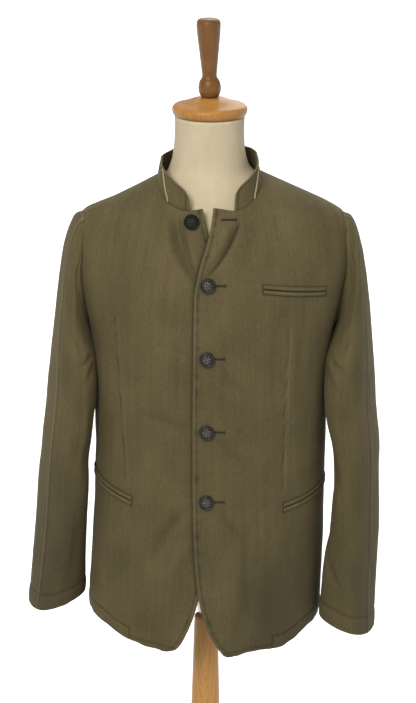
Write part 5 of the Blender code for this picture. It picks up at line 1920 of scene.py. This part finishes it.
# The open button takes the darker copy of the silver, as painted shade
build_button("button_1", "front_right", -1, *OPEN_BUTTON, 0.2, SHADED_SILVER)
for i, (across, height) in enumerate(CLOSED_BUTTONS):
    build_button("button_" + str(i + 2), "front_left", 1, across, height, 0.3 * i, SILVER)


# Dress form
FORM_WIDTH, FORM_FRONT, FORM_BACK = make_curves(FORM_SECTIONS)
FORM_STEPS = 112
FORM_LEVELS = 170
FORM_FOOT = 0.006


def form_point(angle, height):
    """Point of the form's smooth torso and neck."""
    depth = FORM_FRONT(height) if math.sin(angle) < 0.0 else FORM_BACK(height)
    square = 2.0 + (FORM_SQUARENESS - 2.0) * (1.0 - smooth_step(1.27, 1.32, height))
    reach = ring_radius(FORM_WIDTH(height), depth, square, angle)
    across = BODY_LEAN(min(height, 1.362))
    lean = across * (1.0 - smooth_step(1.33, 1.44, height)) * smooth_step(0.70, 0.85, height)
    place = Vector((lean + reach * math.cos(angle), reach * math.sin(angle), height))
    return drooped(place) if height < 1.39 else place


def build_form_cover():
    """Padded torso and neck in one smooth closed skin."""
    low = FORM_SECTIONS[0][0]
    high = FORM_SECTIONS[-1][0]
    levels = [low + FORM_FOOT * (i / 5.0) ** 2 for i in range(5)]
    levels += evenly(low + FORM_FOOT, high, FORM_LEVELS + 1)
    rings = [[form_point(angle, height) for angle in turns(FORM_STEPS)] for height in levels]
    cloth = [(0.0, low)]
    cloth += [(angle * 0.10, height) for height in levels for angle in turns(FORM_STEPS)]
    cloth.append((0.0, high))
    points, faces = closed_rings(Vector((0.0, 0.0, low)), rings, Vector((0.0, 0.0, high)))
    pieces["form_body"] = new_object("cover_form_body", points, faces, "cream_cover", COVER)
    set_cloth(pieces["form_body"].data, cloth)


def rounded(profile, rounds=2, near=0.82):
    """Profile with its corners cut round, its ends kept."""
    far = 1.0 - near
    for _ in range(rounds):
        softer = [profile[0]]
        for (r0, z0), (r1, z1) in zip(profile, profile[1:]):
            softer.append((r0 * near + r1 * far, z0 * near + z1 * far))
            softer.append((r0 * far + r1 * near, z0 * far + z1 * near))
        profile = softer + [profile[-1]]
    return profile


def build_turned(node, profile, steps, slot, material, matrix=Matrix.Identity(4)):
    """Turned piece of the form, smooth round and along."""
    rings = [turned_ring(radius, height, steps) for radius, height in rounded(profile)[1:-1]]
    ends = [Vector((0.0, 0.0, profile[i][1])) for i in (0, -1)]
    points, faces = closed_rings(ends[0], rings, ends[1])
    points = [matrix @ point for point in points]
    pieces[node] = new_object("turned_" + node, points, faces, slot, material)
    face_outward(pieces[node].data)


build_form_cover()
build_turned("neck_cap", CAP_PROFILE, 96, "turned_wood", WOOD)
foot = Matrix.Translation((0.0, 0.0, FINIAL_PROFILE[-1][1]))
tilt = Matrix.Rotation(math.radians(FINIAL_TILT), 4, "Y")
build_turned("neck_finial", FINIAL_PROFILE, 80, "turned_wood", BROWN_WOOD, foot @ tilt @ foot.inverted())
build_turned("pole_ferrule", FERRULE_PROFILE, 64, "grey_steel", STEEL)
build_turned("stand_pole", POLE_PROFILE, 80, "turned_wood", PAINTED_LIGHT_WOOD)
build_turned("stand_base", BASE_PROFILE, 112, "turned_wood", PAINTED_LIGHT_WOOD)

# Hide the imported solids that the pieces stand in for
for node, piece in pieces.items():
    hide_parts(node)


# Stage, light and camera
def build_stage():
    """Plain pale floor under a soft sky."""
    mesh = bpy.data.meshes.new("floor")
    half = 60.0
    corners = [(-half, -half, 0.0), (half, -half, 0.0), (half, half, 0.0), (-half, half, 0.0)]
    mesh.from_pydata(corners, [], [(0, 1, 2, 3)])
    floor = add_object("floor", mesh)
    material, tree, shader, place = new_material("pale_floor", 0.9)
    soft = add_noise(tree, place, (0.4, 0.4, 0.4), 1.0)
    colour = add_mix(tree, soft, (0.92, 0.92, 0.92), (0.94, 0.94, 0.94))
    glow = {"Emission Color": (1.0, 1.0, 1.0, 1.0), "Emission Strength": 0.70}
    set_inputs(tree, shader, {"Base Color": colour, **glow})
    mesh.materials.append(material)
    floor.visible_diffuse = False
    world = bpy.data.worlds.new("studio")
    bpy.context.scene.world = world
    world.use_nodes = True
    tree = world.node_tree
    way = add_node(tree, "ShaderNodeTexCoord").outputs["Generated"]
    level = add_node(tree, "ShaderNodeSeparateXYZ", {0: way}).outputs["Z"]
    share = add_range(tree, level, -0.6, 0.8)
    sky = add_mix(tree, share, (0.26, 0.255, 0.24), (0.56, 0.56, 0.55))
    set_inputs(tree, tree.nodes["Background"], {"Color": sky})


def add_light(name, kind, way, energy, colour):
    """Light along a direction, and its object."""
    light = bpy.data.lights.new(name, kind)
    light.energy = energy
    light.color = colour
    thing = add_object(name, light)
    thing.rotation_euler = Vector(way).to_track_quat("-Z", "Y").to_euler()
    return light, thing


def add_sun(name, way, energy, spread, colour):
    """Even light along a direction, softened by its spread."""
    light, _ = add_light(name, "SUN", way, energy, colour)
    light.angle = math.radians(spread)


def add_soft_box(name, spot, aim, size, energy, colour):
    """Broad near light whose strength falls off down the object."""
    light, thing = add_light(name, "AREA", Vector(aim) - Vector(spot), energy, colour)
    light.size = size
    thing.location = spot
    thing.visible_camera = False


CAMERA_DISTANCE = 5.0
CAMERA_TILT = math.radians(15.5)
CAMERA_ROLL = math.radians(0.42)
CAMERA_AIM = 1.065
CAMERA_LENS = 166.07
SENSOR_WIDTH = 36.0


def build_camera():
    """Camera at the photograph's angle."""
    data = bpy.data.cameras.new("camera")
    data.lens = CAMERA_LENS
    data.sensor_width = SENSOR_WIDTH
    camera = add_object("camera", data)
    height = CAMERA_AIM + CAMERA_DISTANCE * math.tan(CAMERA_TILT)
    spot = Matrix.Translation((0.0, -CAMERA_DISTANCE, height))
    pitch = Matrix.Rotation(math.radians(90.0) - CAMERA_TILT, 4, "X")
    camera.matrix_world = spot @ pitch @ Matrix.Rotation(CAMERA_ROLL, 4, "Z")
    bpy.context.scene.camera = camera


build_stage()
add_sun("key_light", (0.34, 0.84, -0.50), 1.05, 20.0, (1.0, 0.98, 0.94))
add_soft_box("soft_box", (-0.45, -1.25, 2.30), (0.0, 0.0, 1.20), 0.7, 8.9, (1.0, 0.98, 0.94))
add_sun("side_fill", (-0.80, 0.45, -0.25), 0.32, 40.0, (1.0, 0.99, 0.97))
add_sun("back_fill", (-0.25, -0.85, -0.40), 0.8, 40.0, (1.0, 0.99, 0.97))
build_camera()
bpy.context.scene.view_settings.view_transform = "Standard"

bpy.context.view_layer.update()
